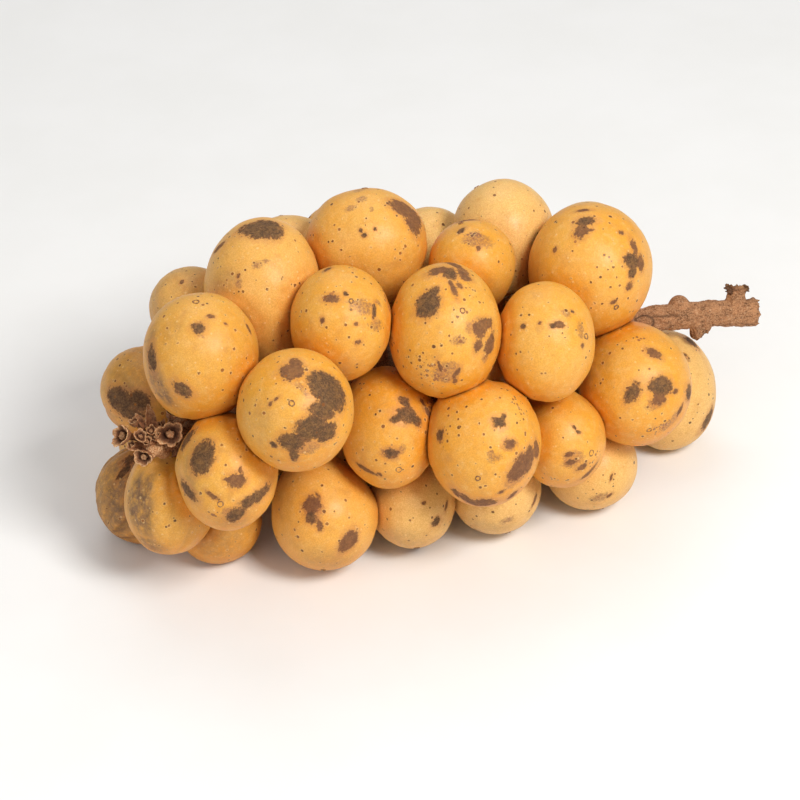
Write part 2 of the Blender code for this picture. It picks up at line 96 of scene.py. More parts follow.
# Marks on the fruit: pixel of the middle, half width and half height in pixels, lean in degrees clockwise
DARK = {
    2: [(261, 227, 20, 7), (263, 233, 15, 5.5), (275.5, 233, 8, 6.5, 20), (246, 228, 8, 3, -10)],
    3: [(360.8, 230.5, 2.3, 2.3), (364, 235.6, 3.2, 2.8), (375, 229, 2, 2.4)],
    6: [(461.3, 231, 3, 2.6)],
    7: [(585, 221.5, 9.5, 4.6, -8), (632, 261.5, 7.5, 8.5), (632, 272, 4, 6)],
    10: [(198.5, 328.5, 7.5, 5.8), (152, 359, 4.2, 13, -12), (183, 389.5, 6.2, 9.5, -28)],
    11: [(345.6, 294, 2.7, 2.5), (374, 310.6, 2.4, 7, 20), (327.6, 270, 4, 1.5, -10)],
    12: [(427.5, 304, 12.3, 13.8), (434.5, 291.5, 5, 5), (450, 274, 7.5, 5.5)],
    13: [(553.2, 326.2, 4, 2.6), (523.6, 326.7, 2.9, 2.9), (572, 312, 1.9, 1.7)],
    14: [(632.3, 393, 7, 11.5, 28), (661, 386.3, 11.5, 10.5), (688, 393, 2.8, 8, 8)],
    15: [(691, 342.6, 9, 2.3, 36), (708, 419.5, 1.9, 13, 18), (685, 355.3, 1.7, 1.6)],
    16: [(119, 400, 12, 12.5), (139, 401, 12, 11), (128, 412, 14, 7)],
    17: [(329, 390, 16.5, 18), (323, 410, 13, 10), (312, 428, 17, 13), (327, 433, 9, 9), (291, 442, 13.5, 9.5, 8),
        (294, 454, 5, 6.5), (273.5, 444.5, 3.2, 3)],
    18: [(406.4, 415, 10.5, 9), (404.7, 402.5, 5, 6.5, -15), (415, 420, 8, 5, 15), (395, 420, 6, 4, -10),
        (391, 453, 7.5, 5.5)],
    19: [(498.7, 422.7, 6.8, 5.6), (503, 416.8, 3, 3.4, 20), (440.7, 434.8, 3, 6)],
    20: [(578.4, 432, 2.6, 2.5), (573.8, 427.6, 4, 1.4, 45)],
    23: [(435.6, 522, 2.8, 6, 38)],
    24: [(311.3, 517.2, 6, 6)],
    25: [(202, 457, 12.5, 15.5, -12), (187.5, 439, 3.6, 9, 15), (187.8, 490.8, 5.3, 6.3),
        (257.5, 496.5, 13, 5.6, -12), (245.8, 503.5, 5.5, 5.5), (236, 515, 9, 7.5)],
    27: [(131, 458, 5, 6.5, 25), (124, 470, 3, 11, 32)],
}
RUSTY = {
    2: [(238.3, 275.7, 2, 2.5), (220, 247, 2, 3, 20)],
    3: [(407, 211, 6.5, 12, -27), (413, 223, 5, 13, -22)],
    6: [(478.2, 248.4, 2.6, 2.4), (467, 220.3, 10, 1.9)],
    7: [(581, 231.8, 7, 7), (633.3, 247, 2.8, 8), (640.4, 263.5, 3, 8.5), (629, 286, 3, 4.2),
        (613.9, 301.7, 3.6, 2.5), (620.5, 233, 2.4, 2.9, -30), (555.2, 250.2, 2, 3.2, 20),
        (590.5, 231, 4, 1.5, -15), (583.8, 210.9, 8, 1.4, -4)],
    9: [(182, 282, 2.4, 2)],
    10: [(210.5, 316.4, 3.6, 2.2, -15), (225.2, 324.6, 2, 1.7), (248.2, 328.5, 1.1, 6, -22)],
    11: [(331.6, 299.2, 8, 4.6, 10), (322.4, 320.6, 2.5, 4), (358, 342, 3.6, 2.6), (356, 324, 2.4, 2)],
    12: [(437.4, 271.8, 9.5, 3.6), (462.7, 273, 6.5, 3.4, 25), (466, 278.7, 3.2, 4, -30), (453.5, 266, 4, 4),
        (453.5, 289, 3.2, 9, -14), (459.2, 285.6, 3, 2.8), (480, 329, 7.5, 9), (485.6, 323.5, 7, 6),
        (477.6, 346, 3.4, 7, 8), (489.6, 345, 5, 7, -20), (439.7, 364.8, 2, 7, -12), (457, 371.7, 2.6, 7, 18),
        (455, 381, 2.7, 2.6)],
    13: [(558.8, 324.7, 6, 3.4, -15), (582.2, 345.6, 1.6, 3), (540, 323.2, 1.9, 1.8)],
    14: [(654, 353.5, 8, 4.3, 8), (658.7, 399, 7, 6), (675, 391, 2.6, 2.6), (679.4, 410.4, 3.2, 1.8, -35)],
    17: [(292.3, 371, 13, 8.5, 5), (295, 363.5, 6, 5), (270, 404.5, 3, 2, -60), (276.6, 399, 4.2, 1.4, -28)],
    18: [(427, 414, 2.5, 5), (422.4, 402.6, 2.5, 2.3), (365.5, 469.5, 9, 1.8, 12), (379.6, 473.8, 2.2, 2)],
    19: [(519.4, 468, 12, 8, -28), (528.6, 460, 7, 6, -35), (536, 448.5, 2.6, 7.5, 14),
        (456.2, 492.2, 5.5, 2.6, 28), (468.9, 500, 4.5, 3.6), (485, 502, 12, 3.3, -3), (501, 491.6, 3.6, 1.4, -8),
        (512.5, 494.5, 6, 1.7, -28), (509.6, 444, 6, 5.2)],
    20: [(570.3, 454, 6, 2.6), (571.5, 462, 7, 2.8, -8), (581.8, 467.2, 4.4, 3.4), (589, 472, 1.3, 7, 28)],
    21: [(611, 477, 1.3, 4, 12), (609, 495, 2.2, 2)],
    22: [(534, 500, 1.1, 6, 28)],
    23: [(423.5, 503, 2.2, 2.2), (446, 506, 3.4, 1.5, -45)],
    24: [(312.4, 504.5, 9, 9), (320, 526, 4, 5), (318.4, 495.5, 1.8, 4.4, -35), (349, 541, 8, 10)],
    25: [(236.6, 480.5, 9, 8.2), (240, 470, 1.6, 4, 12), (226.3, 479.4, 3.4, 2), (212.5, 495.4, 8, 2.3, 32)],
}
FAINT = {
    2: [(238.8, 284, 4, 5), (257, 265.5, 5.5, 4.5, 40), (265.3, 261.4, 5, 3)],
    3: [(350.6, 208.6, 5.5, 3.4), (371.5, 209.6, 2.6, 3), (362, 199.4, 6, 3), (359, 191, 6, 1.6, -5)],
    6: [(478, 240, 16, 8)],
    8: [(590.4, 204.5, 9, 2.4)],
    10: [(203, 338, 2, 1.8), (165.3, 343.8, 2, 1.8)],
    11: [(363, 306.5, 12, 9), (376, 325, 7, 6), (377, 302.4, 3, 3), (388, 307.6, 2.2, 6)],
    12: [(470.7, 328, 6, 7), (458, 341, 8, 5), (447, 372, 15, 12, 10), (485, 358.5, 3, 4.5, 30)],
    13: [(566, 313.5, 5.5, 3.4, 10), (580.2, 329.8, 3.4, 10, 6)],
    14: [(670.2, 421.8, 10, 3.6, -27), (656, 404, 9, 6)],
    15: [(687, 358.7, 3.6, 3.4)],
    17: [(302, 389, 3.4, 11, -32), (309, 447, 12, 8)],
    18: [(391, 453, 10, 8), (401.5, 450, 5, 5.6)],
    19: [(491.3, 452.6, 4, 3.4), (495.3, 457.7, 9, 4.5, -20), (519.4, 470, 14, 10, -28), (509.6, 445, 8, 7)],
    20: [(574, 460, 11, 9)],
    21: [(600, 497, 12, 4, -12)],
    22: [(479.2, 530, 7, 3, 5), (507, 519.7, 7, 3.4, -5)],
    24: [(313, 510, 11, 14), (349, 541, 10, 12)],
    25: [(227, 511, 6, 5)],
}
SPECKS = {
    6: [(473, 236, 12, 9)],
    7: [(578, 236, 10, 10), (608, 257, 4, 9, -18)],
    11: [(331, 297, 13, 9), (383, 292, 5, 14, -25)],
    12: [(435, 374, 26, 16, 8), (459, 340, 9, 6), (472, 290, 5, 12, -15)],
    14: [(640, 338, 9, 5), (660, 427, 14, 6, -20)],
    18: [(430, 413, 9, 20, -12)],
    19: [(519.5, 407, 11, 9, 35), (443, 440, 6, 14)],
    20: [(594, 457, 6, 8)],
    25: [(214, 514, 8, 6)],
}
# Dark pores, by their pixels
DOTS = {
    1: [(296.4, 224), (286.2, 219.4), (290, 227)],
    2: [(251.5, 245.4), (248.5, 253.8), (235.7, 236.9), (229.4, 236.7), (232.7, 247.1), (223.7, 256.3),
        (281.5, 279), (267, 289.3), (264, 294.9), (234.4, 293), (307.7, 252.4), (294.4, 285.4), (248, 307.9),
        (276, 321.6), (218.7, 267.6), (232.4, 273.9)],
    3: [(379.9, 233), (384.6, 218.8), (365.9, 218.8), (387.3, 203.5), (386.8, 196.1), (394.8, 258.1),
        (399.9, 259.6), (404.9, 246.3), (404.7, 238.9), (370.7, 247.3), (332.8, 241.2), (339.1, 229.3),
        (325.1, 230.5), (418.5, 249.9), (356.2, 207.5)],
    4: [(436.8, 221.5)],
    5: [(540.4, 199), (523.9, 210.8), (539.7, 205.5), (469, 208.3)],
    6: [(438.4, 247.6), (445.3, 256.3), (474.6, 234.1), (472, 236.1)],
    7: [(584.8, 273.2), (571.3, 278.3), (594.8, 302.8), (619.3, 285.6), (621.3, 246.1), (614, 243.3),
        (642.8, 256.3), (627.7, 298.2), (626.6, 229.3), (603.2, 266), (605.7, 204.8), (622.6, 219.6)],
    9: [(181.8, 282.3), (171.6, 297.2), (166, 285)],
    10: [(161.4, 334.8), (166.5, 343.8), (178, 342.9), (167.6, 328.7), (170.6, 314.7), (225.2, 315.3),
        (235.2, 330.4), (233.9, 349.1), (241.4, 356.5), (246.9, 362.5), (230.3, 372.7), (198.8, 372.9),
        (215, 387.1), (241.1, 376.3), (222.7, 302.7), (201, 294.4)],
    11: [(336.3, 286.9), (351.3, 282.3), (352.4, 272.9), (356.2, 276.9), (321.8, 325.4), (364.6, 318.6),
        (371.3, 327.2), (384.8, 300.4), (378.7, 295.3), (357.8, 299.9), (302, 311.4), (306.6, 310.9),
        (337.3, 317.2)],
    12: [(453.5, 307.4), (470.1, 310), (452.3, 322.1), (457.5, 317), (430, 326.4), (440.8, 332.1), (441.4, 345.3),
        (479.3, 302.5), (489.6, 302), (496.5, 330.8), (409, 356.8), (420, 356.5), (398.6, 350), (469.5, 296),
        (473, 290), (404, 366), (412, 371), (426, 377), (433, 383), (446, 379), (420, 366), (428, 370), (464, 383)],
    13: [(565.5, 323.5), (565, 337.6), (589.4, 351), (585.5, 357.5), (512, 333), (532, 358.5), (545, 373),
        (521.5, 315.5), (526.5, 330.5)],
    14: [(643.2, 416.7), (649, 424.7), (661.6, 413.2), (632.3, 419), (607.6, 401.7), (596.5, 385.9), (603, 379.4),
        (603, 363.3), (618.5, 369.6), (603, 350.7), (617.7, 345), (642.6, 435.6)],
    15: [(707.9, 383.7), (708, 379.4), (712.7, 398.3), (708.6, 394.6), (703.5, 413.5), (692.8, 418.6),
        (672.5, 440.8), (695.5, 350.7), (701.2, 360.4), (709.5, 411), (702.5, 431)],
    16: [(140, 352.7), (113.6, 380.8)],
    17: [(286.7, 387.6), (260.1, 390.6), (255.5, 405), (263.8, 413.1), (256.6, 419.3), (291.8, 421.3),
        (285.3, 427.8), (306.4, 369.8), (301.6, 382), (347.6, 409.3), (342.7, 425), (334.1, 443.5), (247.3, 423.4),
        (282.4, 407.7), (288.5, 400.1)],
    18: [(426.4, 454.3), (369.3, 407.7), (363.9, 383.9), (379.9, 411), (374.7, 441.3), (356.8, 453), (397, 438.6),
        (424.1, 432.1), (409, 455.7), (411.5, 476.3), (426, 409), (430, 417), (432, 425), (428, 403), (424, 420)],
    19: [(461.6, 420.4), (467.2, 427.1), (459, 435.3), (483.8, 434.5), (475.4, 463.5), (458, 465.4), (452.2, 475),
        (485.5, 485.5), (492.8, 479), (530.9, 437.6), (524, 448), (516, 453.1), (495.9, 399.2), (512, 402),
        (518, 408), (523, 414), (508, 398), (526, 420), (479.2, 423.3)],
    20: [(545.2, 466.9), (552.1, 478.4), (567.9, 479.5), (585.5, 461), (597, 455), (592, 462)],
    21: [(606.8, 456.9), (586, 492.8), (578, 497.6)],
    22: [(466.2, 512.6), (515.6, 504), (471.2, 525.2)],
    23: [(429.8, 514), (401.7, 492.2), (413.2, 517.4), (391, 509), (380, 512.1)],
    24: [(318, 481.6), (300, 511.5), (279.3, 509.6), (327, 523.9), (349.3, 513.9), (364.4, 524.8), (356.8, 529.1),
        (322, 486)],
    25: [(228, 432.3), (237.2, 440.3), (245.6, 450.3), (221.7, 445.3), (222.8, 473.3), (268.8, 467.3),
        (233.2, 500)],
    26: [(130.8, 513.2), (157.2, 512.3), (164.6, 503.8), (168.9, 525.3), (154, 529.9), (191.8, 531.8),
        (161.6, 488.5), (159.7, 475.9), (159.7, 479.4), (143, 540.8), (159.1, 545.9), (143, 521), (132, 533.7)],
    28: [(217.4, 545.1), (226.9, 549.4)],
}
DOT_RADIUS = 0.42
KINDS = {"dark": DARK, "rusty": RUSTY, "faint": FAINT, "specks": SPECKS}
# Soft brown stains, and painted shade on the left and lower sides of some fruit, with how strong each is at its middle
STAINS_AND_SHADE = {
    2: [(226, 280, 16, 16, 0, 0.45)],
    9: [(180, 325, 30, 22, 0, 0.35)],
    10: [(158, 385, 14, 25, 15, 0.95), (172, 330, 18, 14, 0, 0.3), (150, 345, 8, 30, 0, 0.6)],
    15: [(706, 425, 12, 20, 0, 0.25)],
    16: [(128, 402, 24, 24, 0, 0.95), (145, 398, 18, 16, 0, 0.7), (140, 380, 40, 40, 0, 0.45)],
    17: [(262, 415, 10, 30, 0, 0.25)],
    22: [(490, 528, 34, 8, 0, 0.35)],
    23: [(405, 540, 34, 10, 0, 0.35)],
    24: [(330, 560, 40, 14, 0, 0.35)],
    25: [(190, 470, 8, 40, 0, 0.5), (235, 520, 20, 12, 0, 0.4)],
    26: [(138, 505, 15, 46, 6, 1.1), (149, 484, 7, 14, 0, 1), (150, 545, 24, 12, 0, 0.8)],
    27: [(122, 500, 50, 55, 0, 1), (128, 462, 14, 16, 30, 1.1)],
    28: [(218, 545, 40, 20, 0, 0.5)],
}
# The ring left by the flower on each fruit, where the photograph shows it
SCARS = {
    7: (616, 306.8), 12: (462.4, 310.8), 13: (585.8, 336.4), 17: (291.8, 403.4), 18: (398.6, 469), 19: (478, 477.8),
    20: (591, 452.8), 25: (220.5, 503.5),
}
# Fruit whose flower end is out of sight
UNSCARRED = (16, 26, 27)
SCAR_RADIUS = 0.78
SCAR_THICKNESS = 0.21
SCAR_AROUND, SCAR_ACROSS = 28, 8

# How pale a fruit is painted, as light that washes it out, and how dull and how wrinkled its skin is where it isn't
# ordinary
PALE_BY_LIGHT = {1: 0.8, 2: 0.35, 3: 0.15, 4: 1, 5: 1, 8: 1, 9: 0.5, 15: 0.95, 21: 0.8, 22: 1, 23: 0.8, 24: 0.2}
DULL = {9: 0.3, 10: 0.12, 16: 0.45, 26: 0.05, 27: 1, 28: 0.3}
WRINKLED = {9: 0.2, 16: 0.35, 25: 0.12, 26: 0.45, 27: 1.5}
# Which way the wrinkles of two fruit run, as the picture shows it
FOLD_WAYS = {27: 0.62 * VIEW_RIGHT + 0.78 * VIEW_UP, 26: 0.10 * VIEW_RIGHT + 0.995 * VIEW_UP}

NEIGHBOUR_REACH = 60.0  # fruit whose middles are further apart don't touch
# Painted shade between fruit reaches across gaps up to this wide
SHADE_GAP_REACH = 8.0  # how wide a gap between fruit still deepens their colour
PRESS_DEPTH = 0.75  # the most that a skin bulges towards its neighbour
MARK_DEPTH = 0.06

# The stem's line: pixel, mm nearer the viewer than the bunch's axis, radius
STEM_LINE = (
    (162, 446, 13, 2.2),
    (186, 432, 8, 2.8),
    (230, 417, 3, 3.4),
    (310, 397, 0, 3.9),
    (400, 379, 0, 4.1),
    (500, 358, 0, 4.2),
    (590, 336, 0, 4.3),
    (650, 320, 0, 4.5),
    (700, 314, 0, 4.3),
    (735, 313, 0, 4.5),
    (754, 312, 0, 4.7),
)
# Its swellings: pixel, mm nearer, and half width, height and depth. The first is the round knot
KNOBS = (
    (644, 322, 3.4, 3.0, 2.2, 1.7),
    (679, 306, 0.5, 3.4, 3.6, 2.8),
    (696.5, 328, 0.5, 1.9, 4.1, 2.4),
    (704, 325, 0.3, 2.3, 2.6, 2.2),
)
CREASE_START, CREASE_END = (656, 317, 4.3), (712, 315, 4.3)
TORN_SPUR = (699, 330, 0.3)
BARE_FROM = (632, 324, 0)
STEM_COLUMNS = 96

# The broken side branch: its ends, its radius at shares of its height, and splinters beside its top
STUB_FOOT = (735, 309, 0.0)
STUB_TOP = (737, 287, 0.5)
STUB_PROFILE = ((0.0, 4.4), (0.25, 4.2), (0.45, 3.5), (0.6, 3.1), (0.72, 3.05), (0.82, 3.4), (0.9, 3.9), (0.97, 4.0))
STUB_COLUMNS = 72
SPLINTERS = (
    (140, (731, 290.5), (723.6, 288.0), 0.75),
    (142, (731, 293.0), (725.2, 291.6), 0.60),
    (144, (743, 289.5), (749.0, 291.2), 0.80),
    (146, (743, 287.0), (747.6, 286.6), 0.55),
)

# Withered flowers: pixel, mm nearer, radius, lobes, facing right, up and near, seed, size of heart, crumpling
FLOWER_FOOT = (163, 445, 11.5)
BLOOMS = (
    (169.8, 434.2, 18, 3.7, 6, (-0.05, 0.0, 1.0), 1, 0.8, 0.10),
    (143.0, 457.4, 17, 2.6, 5, (-0.35, -0.30, 1.0), 2, 0.85, 0.16),
    (121.0, 435.4, 15.5, 3.0, 5, (-0.65, 0.10, 0.80), 3, 1.0, 0.16),
    (140.3, 435.8, 19, 1.9, 5, (0.15, 0.40, 1.0), 4, 0.8, 0.16),
    (172.9, 412.8, 14, 2.2, 5, (0.30, 0.85, 0.55), 5, 0.7, 0.16),
    (134.4, 421.0, 15, 1.8, 5, (-0.35, 0.90, 0.45), 6, 0.9, 0.16),
)
# Knuckles where flowers have dropped: pixel, mm nearer, radius
KNUCKLES = ((151, 430, 17.5, 1.5), (147, 441, 18, 1.4), (155, 436, 17, 1.5), (131, 445, 16, 1.3), (158, 426, 15.5, 1.3))
# Dry scales: foot, tip, half width, facing, seed, bend
SCALES = (
    ((154, 442, 14), (147.5, 403.3, 17), 2.3, (0.25, 0.2, 1.0), 100, 0.06),
    ((146, 428, 16), (135.5, 413.5, 16.5), 1.2, (0.0, 0.3, 1.0), 110, 0.0),
    ((158, 436, 14), (164.0, 418.0, 15), 1.4, (0.4, 0.2, 1.0), 120, 0.1),
    ((150, 452, 14), (128.0, 449.0, 16), 1.3, (-0.2, 0.8, 0.6), 130, 0.0),
)

# Soft square lights: azimuth (0 at the front, 90 on the right), elevation, metres away, size, power and colour
LIGHTS = {
    "key": (22, 48, 1.0, 0.32, 8.2, (1.0, 0.985, 0.95)),
    "fill": (-62, 36, 1.2, 1.0, 2.9, (1.0, 1.0, 1.0)),
    "back": (170, 55, 1.2, 0.9, 3.6, (1.0, 1.0, 1.0)),
}
SKY_COLOUR, SKY_STRENGTH = (1.0, 0.99, 0.97, 1.0), 0.36
FLOOR_HALF = 3.0


def unit(vector):
    return vector / np.linalg.norm(vector)


def towards(right, up, near):
    return right * VIEW_RIGHT + up * VIEW_UP + near * VIEW_NEAR


def from_picture(x, y, near):
    """The point seen at a pixel of the photograph, near mm nearer the viewer than the stem."""
    offset = (x - PHOTO_MIDDLE[0]) * MM_PER_PIXEL
    right = offset * (VIEW_DISTANCE - near) / (VIEW_DISTANCE + AWAY_TO_RIGHT * offset)
    depth = near + AWAY_TO_RIGHT * right
    up = (PHOTO_MIDDLE[1] - y) * MM_PER_PIXEL * (VIEW_DISTANCE - depth) / VIEW_DISTANCE
    return MIDDLE + right * VIEW_RIGHT + up * VIEW_UP + depth * VIEW_NEAR


def waves(points, length, seed, count=28):
    """A smooth random value from about -1 to 1 at each point, changing over about this many mm."""
    rng = np.random.default_rng(seed)
    ways = rng.normal(size=(count, 3))
    ways *= (2 * np.pi / length) * rng.uniform(0.6, 1.5, (count, 1)) / np.linalg.norm(ways, axis=1)[:, None]
    turns = rng.uniform(0, 2 * np.pi, count)
    return np.sin(points @ ways.T + turns).sum(axis=1) * math.sqrt(1.0 / count)


def crumples(points, length, seed):
    return np.stack([waves(points, length, seed + k) for k in range(3)], axis=1)


def smoothstep(low, high, value):
    t = np.clip((value - low) / (high - low), 0, 1)
    return t * t * (3 - 2 * t)


def turns_of(count):
    return 2 * np.pi * np.arange(count) / count


def sides_of(axis):
    first = unit(np.cross(axis, VIEW_NEAR if abs(axis @ VIEW_NEAR) < 0.9 else VIEW_UP))
    return first, np.cross(axis, first)


def spokes(axis, turns):
    first, second = sides_of(axis)
    return np.cos(turns)[:, None] * first + np.sin(turns)[:, None] * second


def new_object(name, points, faces, finish, layers=None):
    """A mesh object whose points are given in mm in the row frame, with named values on its points."""
    mesh = bpy.data.meshes.new(name)
    mesh.from_pydata((np.asarray(points) * MM).tolist(), [], faces)
    for layer, values in (layers or {}).items():
        mesh.attributes.new(layer, "FLOAT", "POINT").data.foreach_set("value", np.asarray(values, np.float32))
    mesh.materials.append(finish)
    mesh.shade_smooth()
    mesh.update()
    made = bpy.data.objects.new(name, mesh)
    bpy.context.scene.collection.objects.link(made)
    return made


class Paint:
    """A node material, built call by call. A value may be a number, a colour or another node's output."""

    def __init__(self, name):
        self.material = bpy.data.materials.new(name)
        self.material.use_nodes = True
        self.tree = self.material.node_tree
        self.shader = self.tree.nodes["Principled BSDF"]
        object_place = self.tree.nodes.new("ShaderNodeTexCoord").outputs["Object"]
        self.place = self.vector("SCALE", {0: object_place, "Scale": 1 / MM})
        self.colour = None

    def give(self, socket, value):
        if isinstance(value, bpy.types.NodeSocket):
            self.tree.links.new(value, socket)
        elif isinstance(value, tuple) and len(value) == 3 and socket.type == "RGBA":
            socket.default_value = (*value, 1.0)
        else:
            socket.default_value = value

    def node(self, kind, inputs, **settings):
        made = self.tree.nodes.new(kind)
        for key, value in settings.items():
            setattr(made, key, value)
        for key, value in inputs.items():
            self.give(made.inputs[key], value)
        return made

    def vector(self, operation, inputs):
        return self.node("ShaderNodeVectorMath", inputs, operation=operation).outputs[0]

    def math(self, operation, a, b, clamp=False):
        return self.node("ShaderNodeMath", {0: a, 1: b}, operation=operation, use_clamp=clamp).outputs[0]

    def times(self, a, b, clamp=False):
        return self.math("MULTIPLY", a, b, clamp)

    def plus(self, a, b):
        return self.math("ADD", a, b)

    def less(self, a, b):
        return self.math("SUBTRACT", a, b)

    def noise(self, per_mm, detail=3.0, roughness=0.55, place=None, distortion=0.0):
        inputs = {
            "Vector": self.place if place is None else place,
            "Scale": per_mm,
            "Detail": detail,
            "Roughness": roughness,
            "Distortion": distortion,
        }
        return self.node("ShaderNodeTexNoise", inputs).outputs["Fac"]

    def swing(self, size, *noise, **more):
        """Noise about 0."""
        return self.times(self.less(self.noise(*noise, **more), 0.5), size)

    def cells(self, per_mm):
        """Strewn spots: how far the nearest is, in its own size, and its random colour."""
        made = self.node("ShaderNodeTexVoronoi", {"Vector": self.place, "Scale": per_mm}, feature="F1")
        return made.outputs["Distance"], made.outputs["Color"]

    def channel(self, colour, which):
        return self.node("ShaderNodeSeparateColor", {0: colour}).outputs[which]

    def ramp(self, value, low, high, to_low=0.0, to_high=1.0):
        inputs = {"Value": value, "From Min": low, "From Max": high, "To Min": to_low, "To Max": to_high}
        return self.node("ShaderNodeMapRange", inputs, interpolation_type="SMOOTHSTEP").outputs[0]

    def layer(self, name):
        return self.node("ShaderNodeAttribute", {}, attribute_name=name).outputs["Fac"]

    def mix(self, share, a, b):
        return self.node("ShaderNodeMix", {0: share, 6: a, 7: b}, data_type="RGBA").outputs[2]

    def coat(self, share, colour):
        """Lays a colour over what is painted so far."""
        self.colour = self.mix(share, self.colour, colour)

    def finish(self, roughness, height, **fixed):
        """Height is in mm."""
        self.give(self.shader.inputs["Base Color"], self.colour)
        self.give(self.shader.inputs["Roughness"], roughness)
        bump = self.node("ShaderNodeBump", {"Strength": 1.0, "Distance": MM, "Height": height})
        self.give(self.shader.inputs["Normal"], bump.outputs[0])
        for key, value in fixed.items():
            self.give(self.shader.inputs[key.replace("_", " ")], value)
        return self.material


def skin_paint():
    """Thin tawny skin: mottled, dotted with lenticels, with frayed dark marks, faint ones, specks and stains, and with
    painted shade and painted light.
    """
    p = Paint("longkong_skin")
    crevice, stain, mark_layer, rusty = (p.layer(name) for name in ("crevice", "stain", "mark", "rusty"))
    # ordinary skin; painted shade and bounce light make it deeper orange in crevices and on the undersides, and painted
    # shade with dirt makes it dark where fruit touch
    p.colour = p.mix(p.ramp(p.noise(0.055, detail=2.0), 0.35, 0.68), (0.82, 0.420, 0.070), (0.82, 0.365, 0.034))
    p.coat(p.times(crevice, 0.92), (0.77, 0.250, 0.001))
    p.coat(p.ramp(crevice, 0.82, 0.93, 0.0, 0.75), (0.26, 0.075, 0.004))
    # paler skin: painted light on the seen fruit, a random pale tone on the hidden ones
    p.coat(p.times(p.layer("pale"), 0.9), (0.86, 0.560, 0.205))
    mottle = p.noise(0.42, detail=4.0, roughness=0.6)
    p.coat(p.ramp(mottle, 0.42, 0.72, 0.0, 0.50), (0.85, 0.50, 0.150))
    cloudy = p.noise(0.16, detail=5.0, roughness=0.65)
    p.coat(p.ramp(cloudy, 0.52, 0.74, 0.0, 0.55), (0.58, 0.265, 0.060))
    grain = p.noise(2.4, detail=3.0, roughness=0.65)
    p.coat(p.ramp(grain, 0.36, 0.66, 0.45, 0.0), (0.56, 0.235, 0.030))
    # dull and stained skin, and painted shade on the left and lower sides of some fruit
    dull_and_shaded = p.times(stain, p.ramp(p.noise(0.5, detail=5.0, roughness=0.75), 0.34, 0.60, 0.40, 1.0))
    p.coat(p.times(dull_and_shaded, 0.85, clamp=True), (0.240, 0.125, 0.060))
    blots = p.ramp(p.noise(0.26, detail=6.0, roughness=0.78), 0.46, 0.62)
    p.coat(p.times(p.times(p.ramp(stain, 0.45, 1.0), blots), 0.62), (0.105, 0.055, 0.030))
    # painted crease shade: darker brown in the valleys of the wrinkles, stronger where the skin is stained
    p.coat(p.times(p.layer("furrow"), p.ramp(stain, 0.1, 0.7, 0.25, 0.55)), (0.090, 0.045, 0.022))
    # frayed edges for the marks
    lobes = p.swing(2.6, 0.42, detail=2.0)
    fray = p.swing(3.4, 1.15, detail=4.0, roughness=0.7)
    fine_fray = p.swing(2.6, 3.4, detail=3.0, roughness=0.75)
    frayed = p.plus(lobes, fray)
    # faint marks
    faint = p.ramp(p.plus(p.layer("faint"), p.plus(frayed, fine_fray)), -0.5, 1.2)
    grains = p.ramp(p.noise(1.3, detail=5.0, roughness=0.8), 0.40, 0.60, 0.30, 0.85)
    p.coat(p.times(faint, grains), (0.275, 0.112, 0.050))
    # small reddish specks, close together
    far, hue = p.cells(0.85)
    size = p.times(p.times(p.layer("specks"), p.channel(hue, 0)), 0.78)
    p.coat(p.times(p.ramp(p.less(size, far), -0.08, 0.10), 0.85), (0.26, 0.090, 0.035))
    # solid marks: where they are, how dense, and how grey
    field = p.plus(mark_layer, frayed)
    dense = p.ramp(field, -1.15, 1.05)
    speckled = p.plus(dense, p.times(fine_fray, 0.40))
    mark = p.times(p.ramp(speckled, 0.26, 0.80), p.ramp(dense, 0.1, 0.9, 0.45, 1.0))
    mark = p.times(mark, p.ramp(p.noise(0.55, detail=4.0, roughness=0.7), 0.36, 0.56, 0.84, 1.0))
    grey = p.times(p.ramp(p.plus(mark_layer, fray), 0.1, 1.6), p.less(1.0, p.times(rusty, 0.72)))
    # their colour: grainy, cloudy, rusty at the rims
    mark_grain = p.noise(1.7, detail=5.0, roughness=0.85)
    mark_colour = p.mix(grey, (0.175, 0.065, 0.024), (0.088, 0.045, 0.019))
    for share, colour in (
        (p.ramp(mark_grain, 0.47, 0.58, 0.0, 0.80), (0.205, 0.100, 0.041)),
        (p.ramp(mark_grain, 0.41, 0.51, 0.80, 0.0), (0.044, 0.023, 0.012)),
        (p.ramp(p.noise(0.75, detail=4.0, roughness=0.7), 0.46, 0.62, 0.0, 0.70), (0.056, 0.029, 0.014)),
        (p.times(rusty, 0.50), (0.215, 0.082, 0.034)),
    ):
        mark_colour = p.mix(share, mark_colour, colour)
    p.coat(p.times(p.ramp(field, -2.4, -0.1), 0.50), (0.56, 0.215, 0.050))
    p.coat(p.times(mark, 0.95), mark_colour)
    bare = p.less(1.0, p.times(mark, 0.88))
    # dots: dark pores of uneven size with a pale ring of raised skin, strewn in two sizes and then as placed
    wobble = p.swing(0.45, 1.6)
    height = p.plus(p.times(p.less(grain, 0.5), 0.055), p.times(mottle, 0.10))
    for per_mm, least, most, halo_share in ((0.245, -0.10, 0.58, 0.34), (0.36, -0.18, 0.42, 0.24), (0.0, 0, 0, 0.5)):
        if per_mm:
            far, hue = p.cells(per_mm)
            size = p.ramp(p.channel(hue, 0), 0.0, 1.0, least, most)
            depth = p.less(size, p.plus(p.math("DIVIDE", far, per_mm), wobble))
        else:
            hue = p.cells(0.2)[1]
            depth = p.less(p.layer("pores"), wobble)
        dot, halo = p.ramp(depth, -0.14, 0.12), p.ramp(depth, -0.45, 0.0)
        p.coat(p.times(halo, p.times(bare, halo_share)), (0.86, 0.53, 0.185))
        p.coat(p.times(dot, 0.92), p.mix(p.channel(hue, 1), (0.085, 0.024, 0.006), (0.340, 0.115, 0.020)))
        height = p.plus(p.less(height, p.times(dot, 0.14)), p.times(halo, 0.060))
